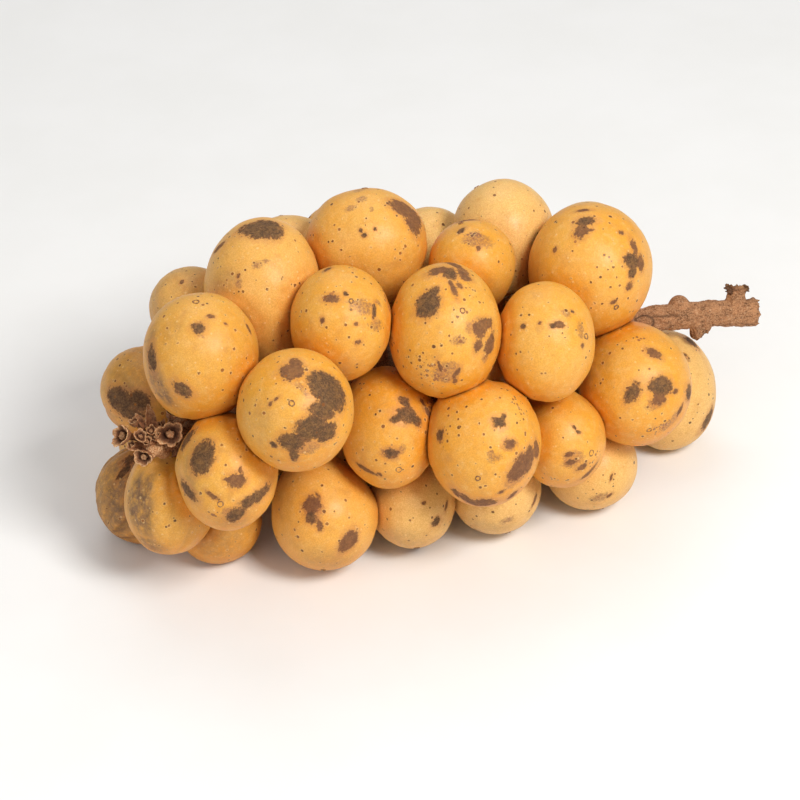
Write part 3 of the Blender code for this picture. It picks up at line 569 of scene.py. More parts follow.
    # fine pale lenticels
    per_mm = 0.46
    far, hue = p.cells(per_mm)
    pip = p.ramp(p.less(p.ramp(p.channel(hue, 0), 0.35, 1.0, 0.0, 0.42), p.math("DIVIDE", far, per_mm)), -0.12, 0.14)
    p.coat(p.times(p.times(pip, bare), 0.45), (0.88, 0.60, 0.25))
    height = p.plus(height, p.times(pip, 0.06))
    height = p.plus(height, p.times(p.times(mark, mark_grain), 0.14))
    roughness = p.plus(p.times(mark, 0.32), p.ramp(mottle, 0.3, 0.7, 0.37, 0.47))
    return p.finish(
        p.plus(roughness, p.times(stain, 0.14)),
        height,
        Subsurface_Weight=0.12,
        Subsurface_Radius=(1.0, 0.40, 0.10),
        Subsurface_Scale=0.0020,
        Specular_IOR_Level=0.36,
    )


def bark_paint():
    """Dry brown bark with lengthwise cracks and pale pores. Torn wood is paler, and flowers are redder."""
    p = Paint("dry_stem")
    torn = p.layer("torn")
    along = p.vector("MULTIPLY", {0: p.place, 1: (0.22, 1.0, 1.0)})
    fibres = p.noise(0.95, detail=6.0, roughness=0.74, place=along)
    dust = p.noise(2.1, detail=4.0, roughness=0.8)
    p.colour = p.mix(p.ramp(fibres, 0.36, 0.64), (0.120, 0.047, 0.018), (0.37, 0.160, 0.066))
    p.coat(p.ramp(dust, 0.45, 0.57, 0.0, 0.62), (0.60, 0.325, 0.165))
    p.coat(p.ramp(p.noise(0.28, detail=4.0, roughness=0.6), 0.45, 0.72, 0.0, 0.60), (0.54, 0.265, 0.120))
    crack = p.ramp(p.noise(1.7, detail=5.0, roughness=0.72, place=along), 0.30, 0.41, 1.0, 0.0)
    p.coat(p.times(crack, 0.75), (0.060, 0.028, 0.015))
    far, hue = p.cells(0.80)
    pore = p.ramp(p.less(p.ramp(p.channel(hue, 0), 0.2, 1.0, 0.05, 0.36), far), -0.05, 0.08)
    p.coat(p.times(pore, 0.40), (0.62, 0.370, 0.215))
    wood_grain = p.noise(2.2, detail=5.0, roughness=0.7, distortion=0.4)
    p.coat(torn, p.mix(p.ramp(wood_grain, 0.3, 0.7), (0.24, 0.095, 0.035), (0.62, 0.33, 0.14)))
    husk_grain = p.ramp(p.noise(0.75, detail=5.0, roughness=0.75), 0.40, 0.60)
    p.coat(p.layer("husk"), p.mix(husk_grain, (0.115, 0.034, 0.014), (0.40, 0.150, 0.060)))
    p.coat(p.layer("rim"), p.mix(p.ramp(dust, 0.40, 0.60), (0.54, 0.215, 0.072), (0.90, 0.570, 0.300)))
    p.coat(p.times(p.layer("shade"), 0.92), (0.040, 0.014, 0.007))
    height = p.less(p.times(fibres, 0.55), p.times(crack, 0.28))
    height = p.plus(height, p.times(pore, 0.10))
    height = p.plus(height, p.times(p.times(torn, wood_grain), 0.5))
    return p.finish(p.ramp(fibres, 0.3, 0.7, 0.86, 0.70), height, Specular_IOR_Level=0.30)


def scar_paint():
    p = Paint("flower_scar")
    grain = p.noise(3.0, detail=3.0)
    p.colour = p.mix(p.ramp(grain, 0.35, 0.65), (0.16, 0.070, 0.030), (0.40, 0.20, 0.085))
    return p.finish(0.7, p.times(grain, 0.06), Specular_IOR_Level=0.3)


def floor_paint():
    p = Paint("pale_floor")
    p.colour = p.mix(p.ramp(p.noise(0.02, detail=3.0), 0.3, 0.7), (0.86, 0.86, 0.855), (0.88, 0.88, 0.88))
    return p.finish(0.85, p.times(p.noise(0.4), 0.01), Specular_IOR_Level=0.1)


class Solid:
    """A fruit's solid from the frame: its welded points, its middle, and a smooth radius in every direction."""

    def __init__(self, number):
        self.number = number
        self.name = f"fruit_{number:02d}"
        mesh = frame["nodes"][self.name].data
        raw = np.array([v.co for v in mesh.vertices]) / MM
        self.tree = BVHTree.FromPolygons(raw.tolist(), [tuple(f.vertices) for f in mesh.polygons])
        self.middle = (raw.min(axis=0) + raw.max(axis=0)) / 2
        points = np.unique(raw.round(4), axis=0)
        ways = points - self.middle
        far = np.linalg.norm(ways, axis=1)
        self.knots = ways / far[:, None]
        self.size = far.mean()
        count = len(points)
        gaps = np.linalg.norm(self.knots[:, None] - self.knots[None], axis=2) ** 3
        plain = np.hstack([np.ones((count, 1)), self.knots])
        system = np.block([[gaps + 1e-5 * np.eye(count), plain], [plain.T, np.zeros((4, 4))]])
        self.weights = np.linalg.solve(system, np.append(far, np.zeros(4)))

    def radius(self, ways):
        gaps = np.linalg.norm(ways[:, None] - self.knots[None], axis=2) ** 3
        return gaps @ self.weights[:-4] + self.weights[-4] + ways @ self.weights[-3:]

    def surface(self, way):
        return self.middle + way * self.radius(way[None])[0]

    def hit(self, x, y):
        """The point of the solid seen at a pixel, or at the nearest pixel towards its middle that sees it."""
        flat = MIDDLE + (x - PHOTO_MIDDLE[0]) * MM_PER_PIXEL * VIEW_RIGHT
        flat = flat + (PHOTO_MIDDLE[1] - y) * MM_PER_PIXEL * VIEW_UP
        sight = unit(self.middle - EYE)
        for share in np.linspace(0, 0.5, 26):
            way = unit((1 - share) * unit(flat - EYE) + share * sight)
            found = self.tree.ray_cast(Vector(EYE), Vector(way))[0]
            if found is not None:
                return np.array(found)
        return self.middle


class Spot:
    """An oval on a fruit's surface, round its middle and reaching as far as two arms."""

    def __init__(self, middle, across, along):
        self.middle = middle
        wide, high = np.linalg.norm(across), np.linalg.norm(along)
        self.rows = np.array(
            [
                across / (across @ across),
                along / (along @ along),
                unit(np.cross(across, along)) / (1.3 * max(wide, high)),
            ]
        )
        self.least = min(wide, high)

    def far(self, points):
        """How far the points are from the middle: 1 at the rim."""
        return np.linalg.norm((points - self.middle) @ self.rows.T, axis=1)

    def field(self, points):
        """Positive inside. About 1 a mm further in, or more than that on a small spot, which frays less."""
        return (1 - self.far(points)) * self.least / min(1.0, max(0.28, self.least / 2.4))


def spot_on(solid, x, y, half_width, half_height, lean=0):
    """The oval whose outline a picture ellipse draws on the fruit."""
    turn = math.radians(lean)
    arms = []
    for reach, (right, down) in (
        (half_width, (math.cos(turn), math.sin(turn))),
        (half_height, (-math.sin(turn), math.cos(turn))),
    ):
        ends = [solid.hit(x + side * reach * right, y + side * reach * down) for side in (1, -1)]
        arm = (ends[0] - ends[1]) / 2
        arms.append(arm if np.linalg.norm(arm) > 0.3 else 0.3 * unit(right * VIEW_RIGHT - down * VIEW_UP))
    return Spot(solid.hit(x, y), *arms)


def random_spots(solid, rng, seen, count, low, high):
    """Ovals strewn on the part of the fruit that the photograph doesn't show."""
    spots = []
    while len(spots) < count:
        way = unit(rng.normal(size=3))
        if seen and way @ VIEW_NEAR > -0.05:
            continue
        middle = solid.surface(way)
        first = unit(np.cross(way, rng.normal(size=3)))
        second = np.cross(way, first)
        size = low * (high / low) ** rng.uniform()
        spots.append(Spot(middle, first * size * rng.uniform(0.6, 1.5), second * size))
        if rng.uniform() < 0.6:
            beside = middle + first * size * rng.uniform(0.5, 1.3) + second * size * rng.uniform(-0.8, 0.8)
            spots.append(Spot(beside, first * size * 0.5, second * size * rng.uniform(0.4, 0.9)))
    return spots


def best_field(spots, points):
    return np.max([spot.field(points) for spot in spots] + [np.full(len(points), -6.0)], axis=0)


def unit_ball(level):
    bm = bmesh.new()
    bmesh.ops.create_icosphere(bm, subdivisions=level, radius=1.0)
    ways = np.array([v.co for v in bm.verts])
    faces = [tuple(v.index for v in f.verts) for f in bm.faces]
    bm.free()
    return ways / np.linalg.norm(ways, axis=1)[:, None], faces


def nearest_of(stem, solid):
    return stem[np.linalg.norm(stem - solid.middle, axis=1).argmin()]


def gap_to_others(solid, solids, points):
    """How far each point near the fruit's surface is from the nearest other fruit, in mm."""
    near = np.full(len(points), 99.0)
    for other in solids:
        if other is not solid and np.linalg.norm(other.middle - solid.middle) < NEIGHBOUR_REACH:
            far = points - other.middle
            long = np.linalg.norm(far, axis=1)
            close = np.flatnonzero(long < other.size + 12)
            if len(close):
                gap = long[close] - other.radius(far[close] / long[close][:, None])
                near[close] = np.minimum(near[close], gap)
    return near


def build_skin(solid, solids, stem, balls, paint):
    number, order = solid.number, solid.number - 1
    inner = number in INNER
    seen = not inner and number not in HIDDEN
    ways, faces = balls[INNER_LEVEL if inner else SEEN_LEVEL if seen else HIDDEN_LEVEL]
    radius = solid.radius(ways)
    rng = np.random.default_rng(500 + order)
    flat = solid.middle + ways * radius[:, None]
    # low dents, and wrinkles that run from the stalk to the tip
    radius += 0.10 * waves(flat, 14.0, 40 + order) + 0.03 * waves(flat, 5.0, 90 + order)
    wrinkled = WRINKLED.get(number, 0.0)
    furrow = np.zeros(len(flat))
    if wrinkled:
        axis = FOLD_WAYS[number] if number in FOLD_WAYS else unit(nearest_of(stem, solid) - solid.middle)
        along = ways @ axis
        across = ways - along[:, None] * axis
        around = solid.size * across / (np.linalg.norm(across, axis=1)[:, None] + 0.08)
        folded = around + 0.22 * solid.size * along[:, None] * axis
        folds = waves(folded, 6.5, 140 + order) + 0.5 * waves(folded, 2.8, 190 + order)
        radius += wrinkled * (1 - along**6) * (0.30 * folds - 0.20 * np.abs(folds))
        # painted crease shade along the fold valleys
        furrow = min(0.8, wrinkled) * np.clip(-folds - 0.2, 0, 1)
    few = 3 if inner else 5
    strewn = {"dark": (few - 3, 1.4, 4.5), "rusty": (few, 0.8, 3.2), "faint": (few, 1.5, 4.0), "specks": (2, 2.5, 5.0)}
    marks = {kind: [spot_on(solid, *spot) for spot in table.get(number, ())] for kind, table in KINDS.items()}
    for kind, how in strewn.items():
        marks[kind] += random_spots(solid, rng, seen, *how)
    dark, rusty = best_field(marks["dark"], flat), best_field(marks["rusty"], flat)
    mark = np.maximum(dark, rusty)
    pores = np.full(len(flat), -3.0)
    for k, (x, y) in enumerate(DOTS.get(number, ())):
        far = np.linalg.norm(flat - solid.hit(x, y), axis=1)
        pores = np.maximum(pores, DOT_RADIUS * (0.8 + 0.2 * (5 * k % 4)) - far)
    # dull and stained skin, and painted shade on the left and lower sides of some fruit
    stain = np.full(len(flat), 0.75 * DULL.get(number, 0.0))
    for *spot, strength in STAINS_AND_SHADE.get(number, ()):
        close = 1 - smoothstep(0.35, 1.15, spot_on(solid, *spot).far(flat))
        stain = np.maximum(stain, strength * close)
    if not seen:
        spot = random_spots(solid, rng, False, 1, 5.0, 9.0)[0]
        stain = np.maximum(stain, rng.uniform(0.2, 0.7) * (1 - smoothstep(0.3, 1.2, spot.far(flat))))
    # the fruit press on each other
    near = gap_to_others(solid, solids, flat)
    radius += np.minimum(0.5 * near + 0.08, PRESS_DEPTH) * (1 - smoothstep(1.2, 3.6, near))
    radius -= MARK_DEPTH * smoothstep(0.0, 1.0, mark)
    points = solid.middle + ways * radius[:, None]
    points[:, 2] = np.maximum(points[:, 2], 0.0)
    # painted light on the seen fruit, a random pale tone on the hidden ones
    pale = PALE_BY_LIGHT.get(number, 0.0) if seen else rng.uniform(0.0, 0.5)
    layers = {
        "mark": mark,
        "rusty": 1 / (1 + np.exp(-(rusty - dark) / 0.5)),
        "faint": best_field(marks["faint"], flat),
        "specks": np.clip(1.25 - np.min([s.far(flat) for s in marks["specks"]], axis=0), 0, 1),
        "pores": pores,
        "furrow": furrow,
        "stain": stain,
        # painted shade and bounce light: deeper orange near other fruit and on the undersides
        "crevice": np.maximum(1 - smoothstep(0.0, SHADE_GAP_REACH, near), 0.7 * smoothstep(-0.3, 0.7, -ways[:, 2])),
        "pale": np.full(len(flat), pale),
    }
    made = new_object(f"{solid.name}_skin", points, faces, paint, layers)
    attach(made, BODY)
    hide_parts(solid.name)


def grid_faces(rows, columns):
    """Faces of a tube of rows of points, with a flat end on the first and last row."""
    faces = []
    for r in range(rows - 1):
        for c in range(columns):
            a, b = r * columns + c, r * columns + (c + 1) % columns
            faces.append((a, b, b + columns, a + columns))
    faces.append(tuple(range(columns))[::-1])
    faces.append(tuple(range((rows - 1) * columns, rows * columns)))
    return faces


class Woody:
    """Gathers the points, faces and painted values of one woody piece."""

    def __init__(self):
        self.points, self.faces = [], []
        self.layers = {"torn": [], "rim": [], "shade": [], "husk": []}

    def add(self, points, faces, **layers):
        first = sum(len(p) for p in self.points)
        self.points.append(points)
        self.faces += [tuple(first + k for k in face) for face in faces]
        for name, values in self.layers.items():
            values.append(np.broadcast_to(np.asarray(layers.get(name, 0.0), float), (len(points),)))

    def build(self, name, paint):
        layers = {key: np.concatenate(values) for key, values in self.layers.items()}
        made = new_object(name, np.concatenate(self.points), self.faces, paint, layers)
        bm = bmesh.new()
        bm.from_mesh(made.data)
        bmesh.ops.recalc_face_normals(bm, faces=bm.faces[:])
        bm.to_mesh(made.data)
        bm.free()
        made.data.shade_smooth()
        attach(made, BODY)
        return made


def catmull_rom(knots, at):
    padded = np.vstack([2 * knots[0] - knots[1], knots, 2 * knots[-1] - knots[-2]])
    start = np.minimum(at.astype(int), len(knots) - 2)
    t = (at - start)[:, None]
    a, b, c, d = (padded[start + k] for k in range(4))
    return 0.5 * (2 * b + (c - a) * t + (2 * a - 5 * b + 4 * c - d) * t**2 + (3 * b - a - 3 * c + d) * t**3)


STEM_KNOTS = np.array([from_picture(x, y, near) for x, y, near, _ in STEM_LINE])
STEM_RADII = np.array([radius for *_, radius in STEM_LINE])


def stem_rings(at):
    path = catmull_rom(STEM_KNOTS, at)
    ahead = catmull_rom(STEM_KNOTS, np.minimum(at + 0.01, len(STEM_KNOTS) - 1.0))
    behind = catmull_rom(STEM_KNOTS, np.maximum(at - 0.01, 0.0))
    return path, ahead - behind, np.interp(at, np.arange(len(STEM_RADII)), STEM_RADII)


def swollen(radius, out, point, knobs):
    """The radius of a row of bark where the knobs swell it, with soft joins."""
    swell = 0.45
    for centre, squash in knobs:
        a = out @ squash.T
        b = squash @ (point - centre)
        halves = a @ b
        lengths = (a * a).sum(axis=1)
        inside = halves**2 - lengths * (b @ b - 1)
        reach = np.where(inside > 0, (-halves + np.sqrt(np.maximum(inside, 0))) / lengths, -9.0)
        radius = radius + swell * np.logaddexp(0, (reach - radius) / swell) - swell * math.log(2) * 0.12
    return radius


def build_stem(paint):
    """The stem, finest at its bare end, with knobs, a knot, a crease and a torn end."""
    last = len(STEM_KNOTS) - 1
    at = np.concatenate([np.linspace(0, 6.4, 150, endpoint=False), np.linspace(6.4, last, 150)])
    path, ways, radii = stem_rings(at)
    columns = STEM_COLUMNS
    turns = turns_of(columns)
    knobs = []
    for x, y, near, wide, high, deep in KNOBS:
        squash = np.array([VIEW_RIGHT / (wide + 0.25), VIEW_UP / (high + 0.25), VIEW_NEAR / (deep + 0.25)])
        knobs.append((from_picture(x, y, near), squash))
    rows = []
    for k, point in enumerate(path):
        axis = unit(ways[k])
        out = spokes(axis, turns)
        surface = point + out * radii[k]
        long_grain = surface - 0.8 * ((surface - point) @ axis)[:, None] * axis
        long_grain = long_grain - 0.82 * (point @ axis) * axis
        radius = radii[k] * 1.05 + 0.17 * waves(long_grain, 3.4, 11) + 0.10 * waves(long_grain, 1.4, 12)
        radius += 0.10 * waves(surface, 6.0, 13)
        rows.append(point + out * swollen(radius, out, point, knobs)[:, None])
    # the torn end
    axis = unit(ways[-1])
    edge = rows[-1].copy()
    middle = edge.mean(axis=0)
    torn_rows = []
    for share in (0.97, 0.88, 0.72, 0.55, 0.38, 0.22, 0.08):
        ring = middle + (edge - middle) * share
        rough = 0.45 * waves(ring, 2.2, 21) + 0.35 * waves(ring, 0.9, 22)
        torn_rows.append(ring + (rough - 0.7 * (1 - share))[:, None] * axis)
    rows[-1] = edge + (0.20 * waves(edge, 1.6, 23) + 0.12 * waves(edge, 0.6, 24))[:, None] * axis
    points = np.concatenate(rows + torn_rows)
    torn = np.repeat([0.0] * (len(rows) - 1) + [0.6] + [1.0] * len(torn_rows), columns)
    # the ring round the knot, the torn spur below and the long crease
    knot = from_picture(*KNOBS[0][:3])
    right, up = (points - knot) @ VIEW_RIGHT / 3.2, (points - knot) @ VIEW_UP / 2.1
    ring = np.exp(-(((np.hypot(right, up) - 1.0) / 0.16) ** 2)) * ((points - knot) @ VIEW_NEAR > -1.5)
    start, end = from_picture(*CREASE_START), from_picture(*CREASE_END)
    way = unit(end - start)
    beside = points - start
    wavy = (beside @ VIEW_UP) - (way @ VIEW_UP) * (beside @ way) + 0.35 * waves(points, 5.0, 25)
    crease = np.exp(-((wavy / 0.42) ** 2)) * (beside @ way > -3) * (beside @ way < 19) * (beside @ VIEW_NEAR > -2)
    spur = from_picture(*TORN_SPUR)
    near_spur = np.exp(-((np.linalg.norm(points - spur, axis=1) / 4.2) ** 2))
    below = smoothstep(-1.0, 1.5, (spur - points) @ VIEW_UP + 1.2)
    knock = 0.60 * crumples(points, 2.2, 26) + 0.40 * crumples(points, 0.9, 46)
    points = points + (near_spur * below)[:, None] * knock - (0.35 * crease)[:, None] * VIEW_NEAR
    woody = Woody()
    shade = np.maximum(0.85 * ring, 0.6 * crease)
    woody.add(points, grid_faces(len(rows) + len(torn_rows), columns), torn=torn, shade=shade)
    add_stub(woody)
    return woody.build("stem_bark", paint)


def add_stub(woody):
    """The broken-off side branch: a flared foot, a waist, a torn top, and splinters beside that, with painted shade on
    its upper part and on the splinters.
    """
    foot, top = from_picture(*STUB_FOOT), from_picture(*STUB_TOP)
    way = unit(top - foot)
    columns = STUB_COLUMNS
    turns = turns_of(columns)
    out = spokes(way, turns)
    high = np.linalg.norm(top - foot)
    shares = np.linspace(0, 0.97, 26)
    rows = []
    for share, radius in zip(shares, np.interp(shares, *zip(*STUB_PROFILE))):
        ring = foot + share * high * way + out * radius
        squeezed = ring - 0.8 * share * high * way
        rows.append(ring + out * (0.20 * waves(squeezed, 3.0, 31) + 0.10 * waves(squeezed, 1.2, 32))[:, None])
    splinters = 0.55 * waves(out * 3.4, 2.6, 33) + 0.42 * waves(out * 3.4, 0.9, 34)
    rows.append(rows[-1] + (0.35 + np.maximum(splinters, -0.7))[:, None] * way + out * 0.15)
    crest = rows[-1]
    middle = crest.mean(axis=0)
    torn = [0.0] * (len(rows) - 2) + [0.35, 0.8]
    for share in (0.93, 0.8, 0.62, 0.42, 0.2):
        ring = middle + (crest - middle) * share
        flat = ring - ((ring - middle) @ way)[:, None] * way
        rough = 0.5 * waves(flat, 1.8, 35) + 0.35 * waves(flat, 0.8, 36) - 0.9 * (1 - share)
        rows.append(flat + (rough + share * ((crest - middle) @ way) * 0.6)[:, None] * way)
        torn.append(1.0)
    # painted shade on the waist and torn top
    stub_shade = np.interp(np.linspace(0, 1, len(rows)), [0, 0.62, 0.74, 0.82, 1], [0, 0, 0.75, 0.55, 0.35])
    shade = np.repeat(stub_shade, columns) * (0.55 + 0.45 * np.tile(np.cos(3 * turns + 0.6), len(rows)))
    woody.add(np.concatenate(rows), grid_faces(len(rows), columns), torn=np.repeat(torn, columns), shade=shade)
    for seed, (x, y), (tip_x, tip_y), thick in SPLINTERS:
        knots = ((x, y, 2.0), ((x + tip_x) / 2, (y + tip_y) / 2 - 0.8, 3.0), (tip_x, tip_y, 2.6))
        radii = (thick, 0.8 * thick, 0.3 * thick)
        # the splinters get painted shade
        tube(woody, places(*knots), radii, columns=12, rows=12, seed=seed, rough=0.2, shade=0.8)


def places(*pixels):
    return [from_picture(*pixel) for pixel in pixels]


def tube(woody, knots, radii, columns=20, rows=26, seed=50, rough=0.10, **layers):
    """A twig along a smooth line through the knots."""
    at = np.linspace(0, len(knots) - 1, rows)
    path = catmull_rom(np.array(knots), at)
    wide = np.interp(at, np.arange(len(radii)), radii)
    turns = turns_of(columns)
    rings = []
    for k, point in enumerate(path):
        out = spokes(unit(path[min(k + 1, rows - 1)] - path[max(k - 1, 0)]), turns)
        ring = point + out * wide[k]
        lump = rough * (waves(ring, 1.6, seed) + 0.6 * waves(ring, 0.8, seed + 1))
        rings.append(ring + out * (lump * min(1.0, wide[k]))[:, None])
    woody.add(np.concatenate(rings), grid_faces(rows, columns), **layers)


def flower(woody, x, y, near, radius, lobes, facing, seed, heart, crumple, depth=1.0):
    """A withered flower: a cup of curled lobes round a shrunken heart. Gives the point where its stalk joins."""
    centre = from_picture(x, y, near)
    axis = unit(towards(*facing))
    first, second = sides_of(axis)
    columns = 12 * lobes
    turns = turns_of(columns)
    petal = np.abs(np.cos(0.5 * lobes * turns + seed)) ** 0.7
    notch = 0.12 * (1.9 * petal - 1.15)
    uneven = 1 + 0.10 * np.sin(2 * turns + seed) + 0.08 * np.sin(3 * turns + 2.0 * seed)
    rings, rims, shades = [], [], []

    def ring(wide, high, rim, shade):
        rings.append(
            centre
            + (wide * np.cos(turns))[:, None] * first
            + (wide * np.sin(turns))[:, None] * second
            + (high * np.ones(columns))[:, None] * axis
        )
        rims.append(np.full(columns, rim))
        shades.append(np.full(columns, shade))

    for v in np.linspace(0.0, 1.0, 11):
        wide = radius * uneven * (0.40 + 0.60 * math.sin(v * math.pi / 2)) * (1 + notch * v**2)
        ring(wide, radius * depth * (-0.95 + 0.95 * v**1.6) + radius * 0.22 * v**3 * petal, 0.25 * v, 0.15)
    ring(radius * uneven * (1.08 + notch * 1.15), radius * (0.06 + 0.22 * petal), 1.0, 0.0)
    ring(radius * uneven * (1.02 + notch * 1.10), radius * (0.13 + 0.19 * petal), 1.0, 0.0)
    for v in np.linspace(0.93, 0.30, 8):
        wide = radius * uneven * v * (0.93 + notch * v**2)
        high = radius * depth * (-0.70 + 0.74 * v**1.5) + radius * 0.10 * v**3 * petal
        ring(wide, high, 0.75 * v**6, 0.95 - 0.75 * v**3)
    for wide, high in ((0.34, -0.42), (0.36, -0.22), (0.30, -0.06), (0.20, 0.02), (0.11, -0.05), (0.04, -0.10)):
        knobbly = 1 + 0.09 * np.cos(5 * turns + seed)
        ring(radius * wide * knobbly * heart / 0.8, radius * high, 0.60 * heart * (high > -0.3), 0.25)
    points = np.concatenate(rings)
    shift = crumples(points, 1.7 * max(1.0, radius / 3), seed * 10) + 0.45 * crumples(points, 0.8, seed * 10 + 5)
    points = points + crumple * (radius / 3.2) * shift
    layers = {"rim": np.concatenate(rims), "shade": np.concatenate(shades), "husk": 1.0}
    woody.add(points, grid_faces(len(rings), columns), **layers)
    return centre - 0.9 * depth * radius * axis


def scale_leaf(woody, foot, tip, width, facing, seed, bend):
    """A dry pointed scale, hollowed and creased, with two faces close together."""
    foot, tip = places(foot, tip)
    way = unit(tip - foot)
    face = towards(*facing)
    face = unit(face - (face @ way) * way)
    side = np.cross(way, face)
    rows, columns = 22, 9
    across = np.linspace(-1, 1, columns)
    long = np.linalg.norm(tip - foot)
    rings = []
    for share in np.linspace(0, 1, rows):
        wide = width * (0.55 + 0.9 * share) * (1 - share**2.2) + 0.12
        spine = foot + share * long * way + bend * share**2 * long * face
        front = spine + (across * wide)[:, None] * side + (0.45 * wide * across**2)[:, None] * face
        rings += [front, front[::-1] - 0.38 * face]
    points = np.concatenate(rings)
    points = points + 0.16 * crumples(points, 1.9, seed)
    share = np.repeat(np.linspace(0, 1, rows), 2 * columns)
    edge = np.abs(np.tile(np.concatenate([across, -across]), rows)) ** 6
    rim = np.maximum(0.75 * share**3, 0.8 * edge * share)
    woody.add(points, grid_faces(rows, 2 * columns), rim=rim, shade=0.55 * (1 - edge) * (1 - 0.6 * share), husk=1.0)


def build_flowers(paint):
    woody = Woody()
    foot = from_picture(*FLOWER_FOOT)
    for bloom in BLOOMS:
        _, _, _, radius, _, facing, seed, _, _ = bloom
        base = flower(woody, *bloom)
        axis = unit(towards(*facing))
        bend = (foot + base) / 2 + 0.5 * radius * (0.3 * VIEW_UP - 0.6 * axis)
        thick = 0.42 * radius
        knots = (foot, bend, base + 0.35 * radius * axis)
        tube(woody, knots, (1.5, 0.9 * thick, thick), seed=60 + seed, rim=0.15, husk=0.8)
    # the thick stalk between the two lower flowers
    tube(woody, places((164, 452, 9.5), (157, 447.5, 13), (149, 454, 13.5)), (2.4, 2.6, 2.1), seed=80, rim=0.60)
    for k, (x, y, near, radius) in enumerate(KNUCKLES):
        flower(woody, x, y, near, radius, 5, (0.2 - 0.2 * k, 0.5, 0.8), 11 + k, heart=1.0, crumple=0.3, depth=1.3)
        tube(woody, (foot, from_picture(x, y, near - 1.5)), (1.3, 0.7 * radius), seed=90 + k, rim=0.15, husk=0.8)
    # the grey bent stub behind
    knots = places((174, 428, 12), (179.5, 420, 15), (186, 416, 15), (191, 419, 12))
    tube(woody, knots, (1.6, 1.7, 1.5, 1.1), seed=84, rim=0.2, shade=0.2)
    for scale in SCALES:
        scale_leaf(woody, *scale)
    return woody.build("withered_flowers", paint)


def build_stalks(paint):
    """The stalks and calyxes inside the bunch: the solid's own shape, less what the finer pieces stand for."""
    bm = bmesh.new()
    bm.from_mesh(frame["nodes"]["rachis"].data)
    bmesh.ops.remove_doubles(bm, verts=bm.verts[:], dist=1e-6)
    tip = from_picture(*FLOWER_FOOT)
    bare = from_picture(*BARE_FROM)[0] * MM
    gone = []
    for face in bm.faces:
        place = face.calc_center_median()
        in_flowers = np.linalg.norm(np.array(place) / MM - tip) < 24 and place.x < (tip[0] + 3.0) * MM
        if place.x > bare or in_flowers:
            gone.append(face)
    bmesh.ops.delete(bm, geom=gone, context="FACES")
    bmesh.ops.holes_fill(bm, edges=[edge for edge in bm.edges if edge.is_boundary], sides=0)
    bmesh.ops.triangulate(bm, faces=bm.faces[:])
    long = [edge for edge in bm.edges if edge.calc_length() > 1.2 * MM]
    bmesh.ops.subdivide_edges(bm, edges=long, cuts=1, use_grid_fill=False)
    bmesh.ops.triangulate(bm, faces=bm.faces[:])
    points = np.array([v.co for v in bm.verts]) / MM
    for vertex, point in zip(bm.verts, points + 0.13 * crumples(points, 1.8, 150)):
        vertex.co = Vector(point * MM)
    mesh = bpy.data.meshes.new("stalks_and_calyxes")
    bm.to_mesh(mesh)
    bm.free()
    mesh.materials.clear()
    mesh.materials.append(paint)
    mesh.shade_smooth()
    made = bpy.data.objects.new("stalks_and_calyxes", mesh)
    bpy.context.scene.collection.objects.link(made)
    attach(made, BODY)
    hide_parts("rachis")


def build_scars(solids, stem, paint):
    """The small brown ring that the flower left on each fruit, at its far end from the stalk."""
    points, faces = [], []
    turns, section = turns_of(SCAR_AROUND), turns_of(SCAR_ACROSS)
    for order, solid in enumerate(solids):
        if solid.number in INNER or solid.number in UNSCARRED:
            continue
        if solid.number in SCARS:
            middle = solid.hit(*SCARS[solid.number])
        else:
            chance = unit(np.random.default_rng(900 + order).normal(size=3))
            middle = solid.surface(unit(unit(solid.middle - nearest_of(stem, solid)) + 0.25 * chance))
        if middle[2] < 2.0:  # pressed on the table
            continue
        out = unit(middle - solid.middle)
        size = SCAR_RADIUS * (0.85 + 0.3 * ((7 * order) % 5) / 4)
        first = sum(len(p) for p in points)
        for turn, way in zip(turns, spokes(out, turns)):
            wide = size * (1 + 0.07 * math.sin(2 * turn + order) + 0.04 * math.sin(5 * turn))
            thick = SCAR_THICKNESS * (1 + 0.25 * math.sin(3 * turn + 2 * order))
            spot = solid.surface(unit(out * solid.size + way * wide))
            points.append(spot + thick * (np.cos(section)[:, None] * way + np.sin(section)[:, None] * out))
        for k in range(SCAR_AROUND):
            step = SCAR_ACROSS if k < SCAR_AROUND - 1 else -(SCAR_AROUND - 1) * SCAR_ACROSS
            for c in range(SCAR_ACROSS):
                a = first + k * SCAR_ACROSS + c
                b = first + k * SCAR_ACROSS + (c + 1) % SCAR_ACROSS
                faces.append((a, b, b + step, a + step))
    made = new_object("flower_scars", np.concatenate(points), faces, paint)
    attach(made, BODY)


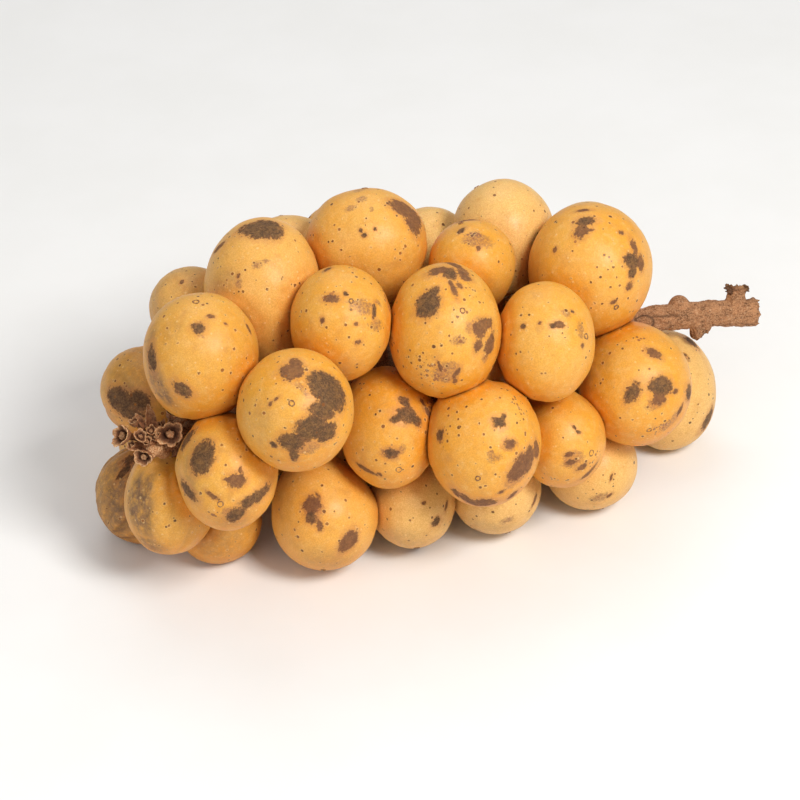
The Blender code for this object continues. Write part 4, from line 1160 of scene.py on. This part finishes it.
def place_camera():
    camera = bpy.data.objects.new("camera", bpy.data.cameras.new("camera"))
    bpy.context.scene.collection.objects.link(camera)
    camera.location = Vector(EYE * MM)
    camera.rotation_mode = "QUATERNION"
    camera.rotation_quaternion = (-Vector(VIEW_NEAR)).to_track_quat("-Z", "Y")
    camera.data.sensor_width = SENSOR
    camera.data.lens = SENSOR * VIEW_DISTANCE / (PHOTO_SIZE * MM_PER_PIXEL)
    camera.data.shift_y = -(PHOTO_SIZE / 2 - PHOTO_MIDDLE[1]) / PHOTO_SIZE
    camera.data.clip_start = 0.01
    bpy.context.scene.camera = camera


def place_light(name, azimuth, elevation, far, size, power, colour):
    a, e = math.radians(azimuth), math.radians(elevation)
    way = Vector((math.sin(a) * math.cos(e), -math.cos(a) * math.cos(e), math.sin(e)))
    light = bpy.data.objects.new(name, bpy.data.lights.new(name, "AREA"))
    bpy.context.scene.collection.objects.link(light)
    light.location = Vector((0.0, 0.0, 0.04)) + way * far
    light.rotation_mode = "QUATERNION"
    light.rotation_quaternion = (-way).to_track_quat("-Z", "Y")
    light.data.size = size
    light.data.energy = power
    light.data.color = colour


def place_studio():
    bpy.context.scene.view_settings.view_transform = "Standard"
    world = bpy.data.worlds.new("studio")
    bpy.context.scene.world = world
    world.use_nodes = True
    sky = world.node_tree.nodes["Background"].inputs
    sky[0].default_value, sky[1].default_value = SKY_COLOUR, SKY_STRENGTH
    for name, how in LIGHTS.items():
        place_light(name, *how)
    corners = np.array([(-1, -1, 0), (1, -1, 0), (1, 1, 0), (-1, 1, 0)]) * FLOOR_HALF
    new_object("floor", corners / MM, [(0, 1, 2, 3)], floor_paint())


def main():
    for old in list(bpy.data.objects):
        if old.type in ("CAMERA", "LIGHT"):
            bpy.data.objects.remove(old)
    place_camera()
    place_studio()
    skin, bark = skin_paint(), bark_paint()
    stem = stem_rings(np.linspace(0, len(STEM_KNOTS) - 1, 120))[0]
    solids = [Solid(number) for number in FRUIT]
    balls = {level: unit_ball(level) for level in (INNER_LEVEL, HIDDEN_LEVEL, SEEN_LEVEL)}
    for solid in solids:
        build_skin(solid, solids, stem, balls, skin)
    build_stem(bark)
    build_flowers(bark)
    build_stalks(bark)
    build_scars(solids, stem, scar_paint())


main()
